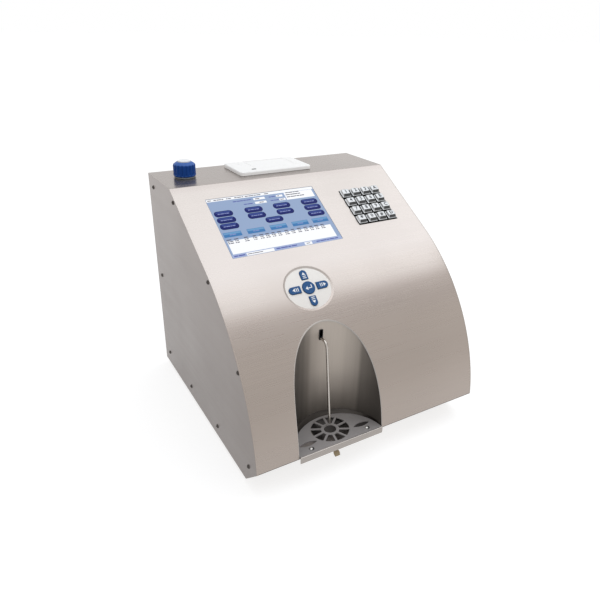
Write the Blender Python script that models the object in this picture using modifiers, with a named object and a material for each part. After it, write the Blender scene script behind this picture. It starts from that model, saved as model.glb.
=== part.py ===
"""Milk analyser: a bench instrument in a folded steel case, with a cup niche, a display, a keypad,
an arrow pad, a slip printer and the cap of an inner rinse bottle on top.

Frame: +X to the operator's right, +Y to the back, +Z up. Units are metres. The origin is under the
middle of the instrument, on the bench that its feet stand on.
"""

import math

import bmesh
import bpy
from mathutils import Matrix, Vector

MM = 0.001
GAP = 0.3 * MM  # left between pieces that touch
THROUGH = 8 * MM  # length of the cutters that pass right through a sheet
LONG = 30 * MM  # and of those that pass through a thicker piece

# Case
WIDTH = 320 * MM
HEIGHT = 290 * MM  # of the case, above its base
TOP_DEPTH = 90 * MM  # flat top, from the back to the bend
SLOPE = math.radians(30.5)  # of the display panel, below the horizontal
SLOPE_LENGTH = 127.5 * MM
FRONT_RADIUS = 260 * MM  # of the curved front below the slope
CHAMFER = 30 * MM  # height and depth of the 45 degree fold under the front
BEND = 2.5 * MM  # outer radius of the bend between top and slope
SHEET = 1.2 * MM
SIDE_SHEET = 2 * MM
LIP_PROUD = 2.5 * MM  # what stands in front of the case
REAR_PROUD = 5.5 * MM  # what stands behind it
FOLD_START = 0.8 * MM  # the base's fold starts this far below the front cover's edge

# Feet
FOOT_HEIGHT = 8 * MM
FOOT_RADII = (9 * MM, 11 * MM)  # below, above
FOOT_X = 120 * MM
FRONT_FOOT_IN = 62 * MM  # from the front of the case
REAR_FOOT_IN = 35 * MM  # from its back

# Cup niche
NICHE_X = -48 * MM
NICHE_RADIUS = 58 * MM
NICHE_IN = 0.8 * MM  # its axis, behind the front foot
LINER_TOP_DOWN = 60 * MM  # the liner's blank ends this far below the top, then the slope cuts it
SHELF_UP = 30.1 * MM  # underside of the niche's shelf above the case's base

# Cup platform
PLATFORM_SHEET = 1.2 * MM
PLATFORM_RADIUS = 57.4 * MM
PLATFORM_CENTRE_OUT = 2 * MM  # centre of its round edge, in front of the case
LIP_HEIGHT = 8.2 * MM
LIP_EXTRA = (0.6 * MM, 0.1 * MM)  # how much wider and higher than the plate the lip is
RING_BACK = 26.6 * MM  # ring of windows, behind the front foot
RING_WINDOWS = 10
RING_TURN = math.radians(-28.4)  # direction of one spoke
RING_RADII = (7.5 * MM, 11.5 * MM, 23.7 * MM)  # centre hole, hub, windows
SPOKE = 2 * MM
LENS_SIZE = (24 * MM, 7 * MM)
LENS_OFF = 38 * MM  # from the platform's middle
LENS_BACK = 14.9 * MM

# Drain
SUMP_TOP = 22 * MM
SUMP_FLANGE = 8 * MM
SUMP_BOTTOM = 7.5 * MM
SUMP_LOW = 14.1 * MM  # above the case's base
SUMP_FLAT = 3.5 * MM  # its front is cut off this far behind the front foot
DRAIN_BORE = 4 * MM
NIPPLE_BORE = 2 * MM
NIPPLE_HOLE = 4.2 * MM
NIPPLE_PROFILE = (
    (2 * MM, 13 * MM),
    (3.3 * MM, 13 * MM),
    (4 * MM, 9.5 * MM),
    (3.2 * MM, 6 * MM),
    (3.7 * MM, 4 * MM),
    (3.7 * MM, -3.5 * MM),
    (2 * MM, -3.5 * MM),
)
NIPPLE_HEX = (5 * MM, 3.5 * MM, 2.2 * MM)  # radius, height, middle

# Intake tube
INTAKE_X = -47 * MM
TUBE_RADIUS = 1.5 * MM
TUBE_UP = 143 * MM  # where the tube passes the niche's wall, above the case's base
TUBE_CORNER_IN = 47.3 * MM  # its corner, behind the front foot
TUBE_END_IN = 30.2 * MM
TUBE_END_UP = 37.5 * MM
TUBE_BEND = 9 * MM
TUBE_TAIL = 10 * MM  # the part behind the pivot
TUBE_SLOT = (4.5 * MM, 12 * MM, 13 * MM)
PIVOT_IN = 84.3 * MM
BARREL = (4 * MM, 8 * MM)  # of the pivot: radius, length
PIVOT_SHAFT = (2 * MM, 21 * MM)
BRACKET_SIZE = (24 * MM, 14 * MM, 22 * MM)
BRACKET_SLOT = (9 * MM, 30 * MM, 30 * MM)
BRACKET_FOOT = 4 * MM

# Display: distances down the slope are from the bend
SCREEN_SIZE = (152 * MM, 94.5 * MM)
SCREEN_X = -47 * MM
SCREEN_DOWN = 72 * MM
GLASS_SIZE = (162 * MM, 102.5 * MM, 1.8 * MM)
MODULE_SIZE = (164 * MM, 104.5 * MM, 9 * MM)
BOARD_SIZE = (140 * MM, 88 * MM, 1.6 * MM)
POST_RADIUS = 3 * MM
POST_SPOT = (64 * MM, 38 * MM)
POST_HEIGHT = 6 * MM
CHIP_SIZE = (30 * MM, 30 * MM, 3 * MM)
CHIP_SPOT = (20 * MM, 5 * MM)
SOCKET_SIZE = (40 * MM, 10 * MM, 9 * MM)
SOCKET_SPOT = (-30 * MM, -34 * MM)

# Keypad
KEY_SIZE = (13.4 * MM, 13.2 * MM)
KEY_PITCH = (16.1 * MM, 15.9 * MM)
KEYPAD_X = 95.5 * MM
KEYPAD_DOWN = 71.5 * MM
KEY_HOLE_MARGIN = 0.5 * MM
KEY_PROUD = 4.2 * MM
KEY_SHOULDER = 1.6 * MM
KEY_EDGE = 1.1 * MM  # width of the shoulder round the raised face
KEY_TAPER = 0.9
KEY_DEEP = 4 * MM
KEYPAD_BASE = (76 * MM, 74 * MM, 10 * MM)
KEYPAD_POCKET = (68 * MM, 66 * MM)
KEY_TRAVEL_ROOM = 1.4 * MM
KEY_NAMES = ("1", "2", "3", "a", "4", "5", "6", "b", "7", "8", "9", "c", "star", "0", "hash", "d")

# Arrow pad
PAD_DOWN = 176 * MM
PAD_HALF = (30 * MM, 26.6 * MM)  # half width, half height: it is slightly oval
PAD_SUNK = 1 * MM
PAD_FLANGE = 4.3 * MM  # how far its flange reaches beyond its face
PAD_LEVELS = (4 * MM, -4 * MM, -6.5 * MM)  # blank's top, flange's top, underside
ENTER_RADIUS = 8 * MM
ARROW_HALF = 4.5 * MM
ARROW_START = 10.9 * MM
ARROW_ENDS = {"up": 23.2 * MM, "left": 26.2 * MM, "down": 23.2 * MM, "right": 26.2 * MM}
BUTTON_BOTTOM = -5.2 * MM
BUTTON_TOPS = {"up": -0.3 * MM, "left": 0.3 * MM, "down": -0.3 * MM, "right": 0.3 * MM}
ENTER_TOP = 0.3 * MM
SWITCH_BOARD = (33 * MM, 1.6 * MM, -7.6 * MM)  # radius, thickness, middle

# Printer on the top
PRINTER_X = -2 * MM
PRINTER_FROM_BACK = 40.5 * MM
PRINTER_SIZE = (108 * MM, 62 * MM, 5 * MM)
PRINTER_CORNER = 5 * MM
PRINTER_ROUNDING = 1.2 * MM
PRINTER_HOLE = (72 * MM, 57 * MM)
TUB_SIZE = (70 * MM, 55 * MM, 44 * MM)
TUB_DOWN = 1 * MM
PAPER_X = 6.5 * MM  # middle of the paper slot, from the printer's middle
LID_SIZE = (63 * MM, 42 * MM, 3 * MM)
LID_GAP = 0.5 * MM
HINGE_BACK = 25.5 * MM  # behind the printer's middle
BARREL_RADIUS = 2.5 * MM
PIN_RADIUS = 0.8 * MM
PIN_LENGTH = 67 * MM
PIN_BORE = 1.1 * MM  # in the lid
CHEEK_SIZE = (1.8 * MM, 11 * MM, 10 * MM)
CHEEK_X = 30.4 * MM
ROLLER_RADIUS = 4.5 * MM
ROLLER_HALF = 29 * MM
ROLLER_SHAFT = (1.5 * MM, 31 * MM)
ROLLER_BORE = 1.8 * MM
ROLLER_OFF = (-36 * MM, -7.5 * MM)  # from the hinge in Y, and from the printer's top
ROLL_OFF = (-19 * MM, -23 * MM)
ROLL_RADIUS = 17.5 * MM
ROLL_HALF = 28.5 * MM
ROLL_CORE = 6 * MM
FEED_SPOT = (-35.6 * MM, 17 * MM)  # feed button, from the printer's middle
FEED_RADIUS = 2.5 * MM
FEED_PROUD = 0.6 * MM
FEED_DEEP = 3.5 * MM

# Rinse bottle and its cap
BOTTLE_X = -123 * MM
BOTTLE_FROM_BACK = 41.6 * MM
BOTTLE_RADIUS = 29 * MM
BOTTLE_WALL = 1.2 * MM
BOTTLE_HEIGHTS = (12 * MM, -18 * MM, -120 * MM)  # mouth, shoulder and bottom, from the case's top
SHOULDER_RADIUS = 23.2 * MM
NECK_RADIUS = 12.3 * MM
NECK_WALL = 1.6 * MM
NECK_RING = (15.2 * MM, 1.7 * MM)
CAP_RADIUS = 14.5 * MM
CAP_RIBS = 24
RIB_DEPTH = 0.7 * MM
CAP_BOTTOM_UP = 2.4 * MM
CAP_SIDE = 14.6 * MM
CAP_CONE = 4 * MM
CAP_TOP_RADIUS = 9.7 * MM
CAP_WINDOW = 8.6 * MM
CAP_INSIDE = 12.9 * MM
CAP_WEB = 0.7 * MM
INSERT_RADII = (6 * MM, 8.3 * MM, 12.4 * MM)  # flat top, neck, flange
INSERT_PROUD = 0.4 * MM
INSERT_FLANGE = 1.2 * MM

# Measuring cell, pump and power supply
CELL_SIZE = (50 * MM, 36 * MM, 46 * MM)
CELL_X = -60 * MM
CELL_IN = 110 * MM
CELL_UP = 85 * MM
CELL_STAND = (30 * MM, 24 * MM)
CELL_INLET = (3 * MM, 12 * MM, 27 * MM)
PUMP_X = 95 * MM
PUMP_IN = 120 * MM
PUMP_UP = 70 * MM
PUMP_HEAD = (52 * MM, 22 * MM, 52 * MM)
PUMP_FOOT = (40 * MM, 16 * MM)
PUMP_BORE = 19 * MM
PUMP_FRONT = -3 * MM  # middle of the rotor along the pump's axis
SHAFT_HOLE = 3.5 * MM
ROTOR_HUB = (9 * MM, 16 * MM)
ROTOR_ROLLERS = 3
ROTOR_ROLLER = (4.5 * MM, 15 * MM, 11.5 * MM)
ROTOR_SHAFT = (3 * MM, 14 * MM, 8 * MM)
MOTOR_SIZE = (20 * MM, 48 * MM)
SUPPLY_SIZE = (110 * MM, 80 * MM, 42 * MM)
SUPPLY_X = 90 * MM
SUPPLY_FROM_BACK = 75 * MM
SOFT_EDGE = 2 * MM

# Power inlet with its switch, and the data port
INLET_X = 105 * MM
INLET_UP = 85 * MM
INLET_FLANGE = (60 * MM, 31 * MM, 2.5 * MM)
INLET_CORNER = 3 * MM
INLET_BODY = (50 * MM, 26 * MM, 24 * MM)
INLET_HOLE = (50.6 * MM, 24.6 * MM)
SOCKET_OFF = 11 * MM
SOCKET_HOLE = (24.4 * MM, 16 * MM, 16.4 * MM)
BLADE_SIZE = (2 * MM, 12 * MM, 4 * MM)
BLADE_SPOTS = ((-7 * MM, -2 * MM), (0, 3 * MM), (7 * MM, -2 * MM))
ROCKER_OFF = -16 * MM
ROCKER_WINDOW = (13.4 * MM, 24 * MM, 19.8 * MM)
ROCKER_SIZE = (12.6 * MM, 6 * MM, 17.6 * MM)
ROCKER_EDGE = 0.8 * MM
ROCKER_DEEP = 3.2 * MM  # its axis, below the flange's face
ROCKER_FORWARD = 2 * MM
ROCKER_TILT = math.radians(8)
PORT_X = 20 * MM
PORT_FLANGE = (31 * MM, 1 * MM, 12.5 * MM)
PORT_SHELL = (17 * MM, 16 * MM, 8.4 * MM)
PORT_HOLE = (19 * MM, 10 * MM)
PORT_CORNER = 1.5 * MM
JACK = (2.6 * MM, 5 * MM, 12.5 * MM)  # radius, length, distance from the port's middle


def case_depth():
    """Depth of the case from its profile: flat top, slope, then the arc down to the front foot."""
    slope_end = Vector((-SLOPE_LENGTH * math.cos(SLOPE), HEIGHT - SLOPE_LENGTH * math.sin(SLOPE)))
    centre = slope_end - SLOPE_OUT * FRONT_RADIUS
    foot = centre.x - math.sqrt(FRONT_RADIUS**2 - (CHAMFER - centre.y) ** 2)
    return TOP_DEPTH - foot


# Places worked out from the sizes above
TURN = math.pi / 2 + SLOPE
SLOPE_OUT = Vector((-math.sin(SLOPE), math.cos(SLOPE)))
DEPTH = case_depth()
Y_BACK = (DEPTH + LIP_PROUD - REAR_PROUD) / 2
Y_FRONT = Y_BACK - DEPTH
Y_BEND = Y_BACK - TOP_DEPTH
Z_BASE = FOOT_HEIGHT
Z_TOP = Z_BASE + HEIGHT
Z_FOOT = Z_BASE + CHAMFER  # lower edge of the curved front
SLOPE_END = Vector((Y_BEND - SLOPE_LENGTH * math.cos(SLOPE), Z_TOP - SLOPE_LENGTH * math.sin(SLOPE)))
ARC_CENTRE = SLOPE_END - SLOPE_OUT * FRONT_RADIUS
INNER_HALF = WIDTH / 2 - SIDE_SHEET - GAP  # half width of the sheets between the side panels
INNER_WIDTH = WIDTH - 20 * MM  # of shapes that stand for the room inside the case
FLOOR_Z = Z_BASE + SHEET + GAP
NICHE_Y = Y_FRONT + NICHE_IN
SHELF_Z = Z_BASE + SHELF_UP
PLATFORM_Z = SHELF_Z + SHEET + GAP  # underside of the platform
RING_Y = Y_FRONT + RING_BACK
SUMP_Z = (Z_BASE + SUMP_LOW, SHELF_Z - GAP)
TUBE_Z = Z_BASE + TUBE_UP
TUBE_PIVOT = Vector((INTAKE_X, Y_FRONT + PIVOT_IN, TUBE_Z))
TUBE_END = (Y_FRONT + TUBE_END_IN, Z_BASE + TUBE_END_UP)
TUBE_CORNER = (Y_FRONT + TUBE_CORNER_IN, TUBE_Z)
PRINTER_Y = Y_BACK - PRINTER_FROM_BACK
PRINTER_TOP = Z_TOP + GAP + PRINTER_SIZE[2]
PAPER_MIDDLE = PRINTER_X + PAPER_X
LID_AXIS = Vector((PAPER_MIDDLE, PRINTER_Y + HINGE_BACK, PRINTER_TOP - BARREL_RADIUS))
ROLLER_SPOT = Vector((PAPER_MIDDLE, LID_AXIS.y + ROLLER_OFF[0], PRINTER_TOP + ROLLER_OFF[1]))
ROLL_SPOT = Vector((PAPER_MIDDLE, LID_AXIS.y + ROLL_OFF[0], PRINTER_TOP + ROLL_OFF[1]))
BOTTLE_Y = Y_BACK - BOTTLE_FROM_BACK
CELL_SPOT = Vector((CELL_X, Y_FRONT + CELL_IN, Z_BASE + CELL_UP))
PUMP_SPOT = Vector((PUMP_X, Y_FRONT + PUMP_IN, Z_BASE + PUMP_UP))
REAR_Z = Z_BASE + INLET_UP
INLET_FACE = Y_BACK + GAP + INLET_FLANGE[2]
ROCKER_PIVOT = Vector((INLET_X + ROCKER_OFF, INLET_FACE - ROCKER_DEEP, REAR_Z))

# Looks: colour, roughness, metallic
STEEL = ((0.62, 0.60, 0.58), 0.34, 1.0)
BRIGHT_STEEL = ((0.75, 0.74, 0.72), 0.2, 1.0)
BRASS = ((0.62, 0.48, 0.25), 0.35, 1.0)
KEY_METAL = ((0.70, 0.70, 0.69), 0.3, 1.0)
WHITE = ((0.86, 0.86, 0.84), 0.4, 0.0)
PAPER = ((0.90, 0.90, 0.88), 0.8, 0.0)
BLACK = ((0.03, 0.03, 0.03), 0.5, 0.0)
RUBBER = ((0.02, 0.02, 0.02), 0.8, 0.0)
BLUE = ((0.02, 0.12, 0.33), 0.35, 0.0)
SCREEN_BLUE = ((0.35, 0.48, 0.68), 0.15, 0.0)
GREY = ((0.35, 0.35, 0.36), 0.5, 0.0)
BOARD = ((0.02, 0.18, 0.08), 0.5, 0.0)
CLEAR_PLASTIC = ((0.75, 0.78, 0.80), 0.4, 0.0)

AXIS_X = Matrix.Rotation(math.pi / 2, 4, "Y")  # turns a shape along Z to lie along X
AXIS_Y = Matrix.Rotation(-math.pi / 2, 4, "X")


# Scene and naming


def clear_scene():
    for obj in list(bpy.data.objects):
        bpy.data.objects.remove(obj, do_unlink=True)


def new_collection(name):
    collection = bpy.data.collections.new(name)
    bpy.context.scene.collection.children.link(collection)
    return collection


def give_look(obj, look):
    colour, roughness, metallic = look
    finish = bpy.data.materials.new(obj.name + "_finish")
    finish.use_nodes = True
    shader = finish.node_tree.nodes["Principled BSDF"]
    shader.inputs["Base Color"].default_value = (*colour, 1)
    shader.inputs["Roughness"].default_value = roughness
    shader.inputs["Metallic"].default_value = metallic
    obj.data.materials.clear()
    obj.data.materials.append(finish)


def add(name, mesh, look, place):
    """Puts a mesh in the scene: as a part with its own look or, with no look, as a hidden cutter."""
    obj = bpy.data.objects.new(name, mesh)
    (PARTS if look else CUTTERS).objects.link(obj)
    obj.matrix_world = place
    if look:
        give_look(obj, look)
    else:
        obj.hide_render = True
        obj.display_type = "WIRE"
    return obj


def mesh_from(name, bm):
    mesh = bpy.data.meshes.new(name)
    bm.to_mesh(mesh)
    bm.free()
    return mesh


# Shapes


def block(name, size, look=None, place=Matrix(), bevel=0):
    bm = bmesh.new()
    bmesh.ops.create_cube(bm, size=1, matrix=Matrix.Diagonal((*size, 1)))
    obj = add(name, mesh_from(name, bm), look, place)
    if bevel:
        rounding = obj.modifiers.new("rounding", "BEVEL")
        rounding.width = bevel
        rounding.segments = 1
    return obj


def rod(name, radius, length, look=None, place=Matrix(), segments=24, top_radius=None):
    bm = bmesh.new()
    bmesh.ops.create_cone(
        bm,
        cap_ends=True,
        segments=segments,
        radius1=radius,
        radius2=radius if top_radius is None else top_radius,
        depth=length,
    )
    obj = add(name, mesh_from(name, bm), look, place)
    obj.data.shade_smooth()
    obj.data.set_sharp_from_angle(angle=math.radians(40))
    return obj


def turned(name, profile, look=None, place=Matrix(), segments=24, ring=False):
    """A turned shape: the profile of (radius, height) points runs down its outer side."""
    bm = bmesh.new()
    points = [bm.verts.new((radius, 0, height)) for radius, height in profile]
    for first, second in zip(points, points[1:]):
        bm.edges.new((first, second))
    if ring:
        bm.edges.new((points[-1], points[0]))
    obj = add(name, mesh_from(name, bm), look, place)
    screw = obj.modifiers.new("turn", "SCREW")
    screw.axis = "Z"
    screw.steps = segments
    screw.render_steps = segments
    screw.use_merge_vertices = True
    screw.merge_threshold = 1e-5
    screw.use_smooth_shade = True
    return obj


def flat_shape(name, outline, thickness, look=None, place=Matrix()):
    """A flat outline in local X and Y, as thick as said, centred on local Z = 0."""
    curve = bpy.data.curves.new(name, "CURVE")
    curve.dimensions = "2D"
    curve.fill_mode = "BOTH"
    curve.extrude = thickness / 2
    spline = curve.splines.new("POLY")
    spline.points.add(len(outline) - 1)
    for point, (x, y) in zip(spline.points, outline):
        point.co = (x, y, 0, 1)
    spline.use_cyclic_u = True
    return add(name, welded_mesh(name, curve), look, place)


def wire(name, route, radius, look=None, place=Matrix(), sides=2):
    """A round tube along a route of points."""
    curve = bpy.data.curves.new(name, "CURVE")
    curve.dimensions = "3D"
    curve.bevel_depth = radius
    curve.bevel_resolution = sides
    curve.use_fill_caps = True
    spline = curve.splines.new("POLY")
    spline.points.add(len(route) - 1)
    for point, place_on_route in zip(spline.points, route):
        point.co = (*place_on_route, 1)
    return add(name, welded_mesh(name, curve), look, place)


def welded_mesh(name, curve):
    """The curve's own mesh, with its caps joined to its sides."""
    guide = bpy.data.objects.new(name + "_curve", curve)
    bpy.context.scene.collection.objects.link(guide)
    graph = bpy.context.evaluated_depsgraph_get()
    mesh = bpy.data.meshes.new_from_object(guide.evaluated_get(graph))
    bpy.data.objects.remove(guide, do_unlink=True)
    bm = bmesh.new()
    bm.from_mesh(mesh)
    bmesh.ops.remove_doubles(bm, verts=bm.verts, dist=1e-6)
    bmesh.ops.recalc_face_normals(bm, faces=bm.faces)
    bm.to_mesh(mesh)
    bm.free()
    mesh.name = name
    return mesh


def folded_sheet(name, line, outward, look):
    """A sheet between the side panels that follows a line of (y, z) points on its outer surface."""
    bm = bmesh.new()
    points = [bm.verts.new((-INNER_HALF, y, z)) for y, z in line]
    edges = [bm.edges.new(pair) for pair in zip(points, points[1:])]
    swept = bmesh.ops.extrude_edge_only(bm, edges=edges)["geom"]
    moved = [item for item in swept if isinstance(item, bmesh.types.BMVert)]
    bmesh.ops.translate(bm, verts=moved, vec=(2 * INNER_HALF, 0, 0))
    bm.normal_update()
    bm.faces.ensure_lookup_table()
    if bm.faces[0].normal.dot(outward) < 0:
        bmesh.ops.reverse_faces(bm, faces=bm.faces)
    obj = add(name, mesh_from(name, bm), look, Matrix())
    wall = obj.modifiers.new("sheet", "SOLIDIFY")
    wall.thickness = SHEET
    wall.offset = -1
    wall.use_even_offset = True
    return obj


def combine(target, operation, *tools):
    for tool in tools:
        step = target.modifiers.new(operation.lower() + "_" + tool.name, "BOOLEAN")
        step.operation = operation
        step.object = tool


def cut(target, *tools):
    combine(target, "DIFFERENCE", *tools)


def join(target, *tools):
    combine(target, "UNION", *tools)


def keep_inside(target, *tools):
    combine(target, "INTERSECT", *tools)


# Outlines and frames


def at(x, y, z):
    return Matrix.Translation((x, y, z))


def arc(centre, radius, start, end, steps):
    """Points on an arc, ends included."""
    turn = (end - start) / steps
    return [
        (
            centre[0] + radius * math.cos(start + turn * i),
            centre[1] + radius * math.sin(start + turn * i),
        )
        for i in range(steps + 1)
    ]


def rounded_rectangle(width, depth, radius, steps=4):
    points = []
    for quarter, (sx, sy) in enumerate([(1, 1), (-1, 1), (-1, -1), (1, -1)]):
        centre = (sx * (width / 2 - radius), sy * (depth / 2 - radius))
        start = quarter * math.pi / 2
        points += arc(centre, radius, start, start + math.pi / 2, steps)
    return points


def skin_line(inset, arc_steps=16, bend_steps=3):
    """Points (y, z) that run from the top's back edge to the front foot, inside the outer surface."""
    depth = max(BEND, inset)
    bend_centre = (Y_BEND + depth * math.tan(SLOPE / 2), Z_TOP - depth)
    radius = FRONT_RADIUS - inset
    foot = Z_FOOT + inset * (math.sqrt(2) - 1)
    last = math.pi - math.asin((foot - ARC_CENTRE.y) / radius)
    line = [(Y_BACK, Z_TOP - inset)]
    if depth > inset:
        line += arc(bend_centre, depth - inset, math.pi / 2, TURN, bend_steps)
    else:
        line.append(bend_centre)
    return line + arc(ARC_CENTRE, radius, TURN, last, arc_steps)


def case_outline(inset=0.0):
    """The case's closed outline (y, z), or a copy of it that lies inside it."""
    base = Z_BASE + inset
    chamfer_end = Y_FRONT + CHAMFER + inset * (math.sqrt(2) - 1)
    back = Y_BACK - inset
    line = [(min(y, back), z) for y, z in skin_line(inset)]
    return line + [(chamfer_end, base), (back, base)]


def upright(name, outline, width, look=None, x=0.0):
    """A (y, z) outline stood upright, as wide along X as said and centred on x."""
    stand = Matrix(((0, 0, 1, x), (1, 0, 0, 0), (0, 1, 0, 0), (0, 0, 0, 1)))
    return flat_shape(name, outline, width, look, stand)


def front_frame(x, down):
    """A frame on the front surface: X right, Y up the slope, Z out. down is measured from the bend."""
    past = max(0.0, down - SLOPE_LENGTH)
    angle = SLOPE + past / FRONT_RADIUS
    out = Vector((0, -math.sin(angle), math.cos(angle)))
    up = Vector((0, math.cos(angle), math.sin(angle)))
    if past:
        spot = Vector((0, ARC_CENTRE.x, ARC_CENTRE.y)) + out * FRONT_RADIUS
    else:
        spot = Vector((0, Y_BEND, Z_TOP)) - up * down
    frame = Matrix((Vector((1, 0, 0)), up, out)).transposed().to_4x4()
    frame.translation = spot + Vector((x, 0, 0))
    return frame


# Case


def make_side_panels():
    centre = (WIDTH - SIDE_SHEET) / 2
    upright("left_side_panel", case_outline(), SIDE_SHEET, STEEL, -centre)
    upright("right_side_panel", case_outline(), SIDE_SHEET, STEEL, centre)


def niche_cutter(name, bottom, top):
    height = top - bottom
    return rod(name, NICHE_RADIUS, height, None, at(NICHE_X, NICHE_Y, bottom + height / 2), 64)


def make_front_top_cover():
    cover = folded_sheet("front_top_cover", skin_line(0), Vector((0, 0, 1)), STEEL)
    screen = front_frame(SCREEN_X, SCREEN_DOWN)
    window = block("screen_window", (*SCREEN_SIZE, THROUGH), None, screen)
    pad_hole = flat_shape("pad_hole", pad_outline(GAP), 2 * THROUGH, None, front_frame(NICHE_X, PAD_DOWN))
    niche = niche_cutter("niche_opening", Z_BASE, Z_TOP)
    printer_place = at(PAPER_MIDDLE, PRINTER_Y, Z_TOP)
    printer_hole = block("printer_hole", (*PRINTER_HOLE, THROUGH), None, printer_place)
    neck_hole = rod("neck_hole", NECK_RADIUS + GAP, THROUGH, None, at(BOTTLE_X, BOTTLE_Y, Z_TOP))
    cut(cover, window, key_holes(), pad_hole, niche, printer_hole, neck_hole)


def key_places():
    """Frames of the 16 keys, row by row from the top left."""
    for row in range(4):
        for column in range(4):
            x = KEYPAD_X + (column - 1.5) * KEY_PITCH[0]
            yield front_frame(x, KEYPAD_DOWN + (row - 1.5) * KEY_PITCH[1])


def key_holes():
    bm = bmesh.new()
    size = [side + 2 * KEY_HOLE_MARGIN for side in KEY_SIZE]
    for place in key_places():
        bmesh.ops.create_cube(bm, size=1, matrix=place @ Matrix.Diagonal((*size, THROUGH, 1)))
    return add("key_holes", mesh_from("key_holes", bm), None, Matrix())


def make_base_plate():
    line = [
        (Y_FRONT + FOLD_START, Z_FOOT - FOLD_START),
        (Y_FRONT + CHAMFER, Z_BASE),
        (Y_BACK - SHEET - GAP, Z_BASE),
    ]
    plate = folded_sheet("base_plate", line, Vector((0, -1, -1)), STEEL)
    cut(plate, rod("nipple_hole", NIPPLE_HOLE, THROUGH, None, nipple_frame()))


def make_rear_panel():
    height = HEIGHT - SHEET - GAP
    size = (2 * INNER_HALF, SHEET, height)
    panel = block("rear_panel", size, STEEL, at(0, Y_BACK - SHEET / 2, Z_BASE + height / 2))
    inlet_size = (INLET_HOLE[0], THROUGH, INLET_HOLE[1])
    inlet_hole = block("inlet_hole", inlet_size, None, at(INLET_X, Y_BACK, REAR_Z))
    port_size = (PORT_HOLE[0], THROUGH, PORT_HOLE[1])
    port_hole = block("port_hole", port_size, None, at(PORT_X, Y_BACK, REAR_Z))
    cut(panel, inlet_hole, port_hole)


def make_feet():
    top = FOOT_HEIGHT - GAP
    low, high = FOOT_RADII
    profile = [(0, top), (high, top), (low, 0), (0, 0)]
    spots = {
        "foot_front_left": (-FOOT_X, Y_FRONT + FRONT_FOOT_IN),
        "foot_front_right": (FOOT_X, Y_FRONT + FRONT_FOOT_IN),
        "foot_rear_left": (-FOOT_X, Y_BACK - REAR_FOOT_IN),
        "foot_rear_right": (FOOT_X, Y_BACK - REAR_FOOT_IN),
    }
    for name, (x, y) in spots.items():
        turned(name, profile, RUBBER, at(x, y, 0), 20)


# Cup niche


def make_niche_liner():
    """The half-round wall, and the shelf that carries the platform, as one folded and welded piece."""
    top = Z_TOP - LINER_TOP_DOWN
    height = top - SHELF_Z
    place = at(NICHE_X, NICHE_Y, SHELF_Z + height / 2)
    liner = rod("niche_liner", NICHE_RADIUS + SHEET, height, STEEL, place, 64)
    hollow = niche_cutter("liner_hollow", SHELF_Z + SHEET, top + THROUGH)
    shelf_radius = SUMP_TOP + SHEET + 2 * GAP
    shelf_hole = rod("shelf_hole", shelf_radius, THROUGH, None, at(NICHE_X, RING_Y, SHELF_Z), 32)
    slot_z = TUBE_Z - TUBE_RADIUS - GAP + TUBE_SLOT[2] / 2
    slot = block("tube_slot", TUBE_SLOT, None, at(INTAKE_X, NICHE_Y + NICHE_RADIUS, slot_z))
    space = upright("liner_space", case_outline(SHEET + GAP), INNER_WIDTH)
    cut(liner, hollow, shelf_hole, slot)
    keep_inside(liner, space)


def lens(width, height, steps=8):
    """A slot with pointed ends between two arcs."""
    radius = (width**2 / 4 + height**2 / 4) / height
    half = math.asin(width / 2 / radius)
    lower = radius - height / 2
    up = math.pi / 2
    top = arc((0, -lower), radius, up - half, up + half, steps)
    bottom = arc((0, lower), radius, -up - half, -up + half, steps)
    return top[:-1] + bottom[:-1]


def platform_windows():
    """Ten windows round a hub, and the hole in the hub."""
    hole, hub, outer = RING_RADII
    place = at(NICHE_X, RING_Y, PLATFORM_Z)
    step = 2 * math.pi / RING_WINDOWS
    tools = [rod("ring_centre_hole", hole, THROUGH, None, place, 24)]
    for i in range(RING_WINDOWS):
        middle = RING_TURN + (i + 0.5) * step
        half_inner = step / 2 - SPOKE / 2 / hub
        half_outer = step / 2 - SPOKE / 2 / outer
        outline = arc((0, 0), hub, middle + half_inner, middle - half_inner, 2)
        outline += arc((0, 0), outer, middle - half_outer, middle + half_outer, 4)
        tools.append(flat_shape("ring_window_%d" % i, outline, THROUGH, None, place))
    return tools


def make_cup_platform():
    """The plate that the cup stands on, with its front edge folded down as a lip."""
    front = Y_FRONT - LIP_PROUD
    centre_y = Y_FRONT - PLATFORM_CENTRE_OUT
    top = PLATFORM_Z + PLATFORM_SHEET
    reach = math.asin((front + PLATFORM_SHEET / 2 - centre_y) / PLATFORM_RADIUS)
    outline = arc((NICHE_X, centre_y), PLATFORM_RADIUS, reach, math.pi - reach, 40)
    place = at(0, 0, PLATFORM_Z + PLATFORM_SHEET / 2)
    plate = flat_shape("cup_platform", outline, PLATFORM_SHEET, STEEL, place)
    lip_size = (2 * PLATFORM_RADIUS + LIP_EXTRA[0], PLATFORM_SHEET, LIP_HEIGHT)
    lip_z = top + LIP_EXTRA[1] - LIP_HEIGHT / 2
    lip = block("platform_lip", lip_size, None, at(NICHE_X, front + PLATFORM_SHEET / 2, lip_z))
    join(plate, lip)
    slots = []
    for name, side in [("left_slot", -1), ("right_slot", 1)]:
        slot_place = at(NICHE_X + side * LENS_OFF, Y_FRONT + LENS_BACK, PLATFORM_Z)
        slots.append(flat_shape(name, lens(*LENS_SIZE), THROUGH, None, slot_place))
    cut(plate, *platform_windows(), *slots)


def nipple_frame():
    """On the 45 degree fold under the platform, with Z pointing out, down and forward."""
    down_fold = 0.55 * CHAMFER
    frame = Matrix.Rotation(math.radians(135), 4, "X")
    frame.translation = (NICHE_X, Y_FRONT + down_fold, Z_FOOT - down_fold)
    return frame


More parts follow.
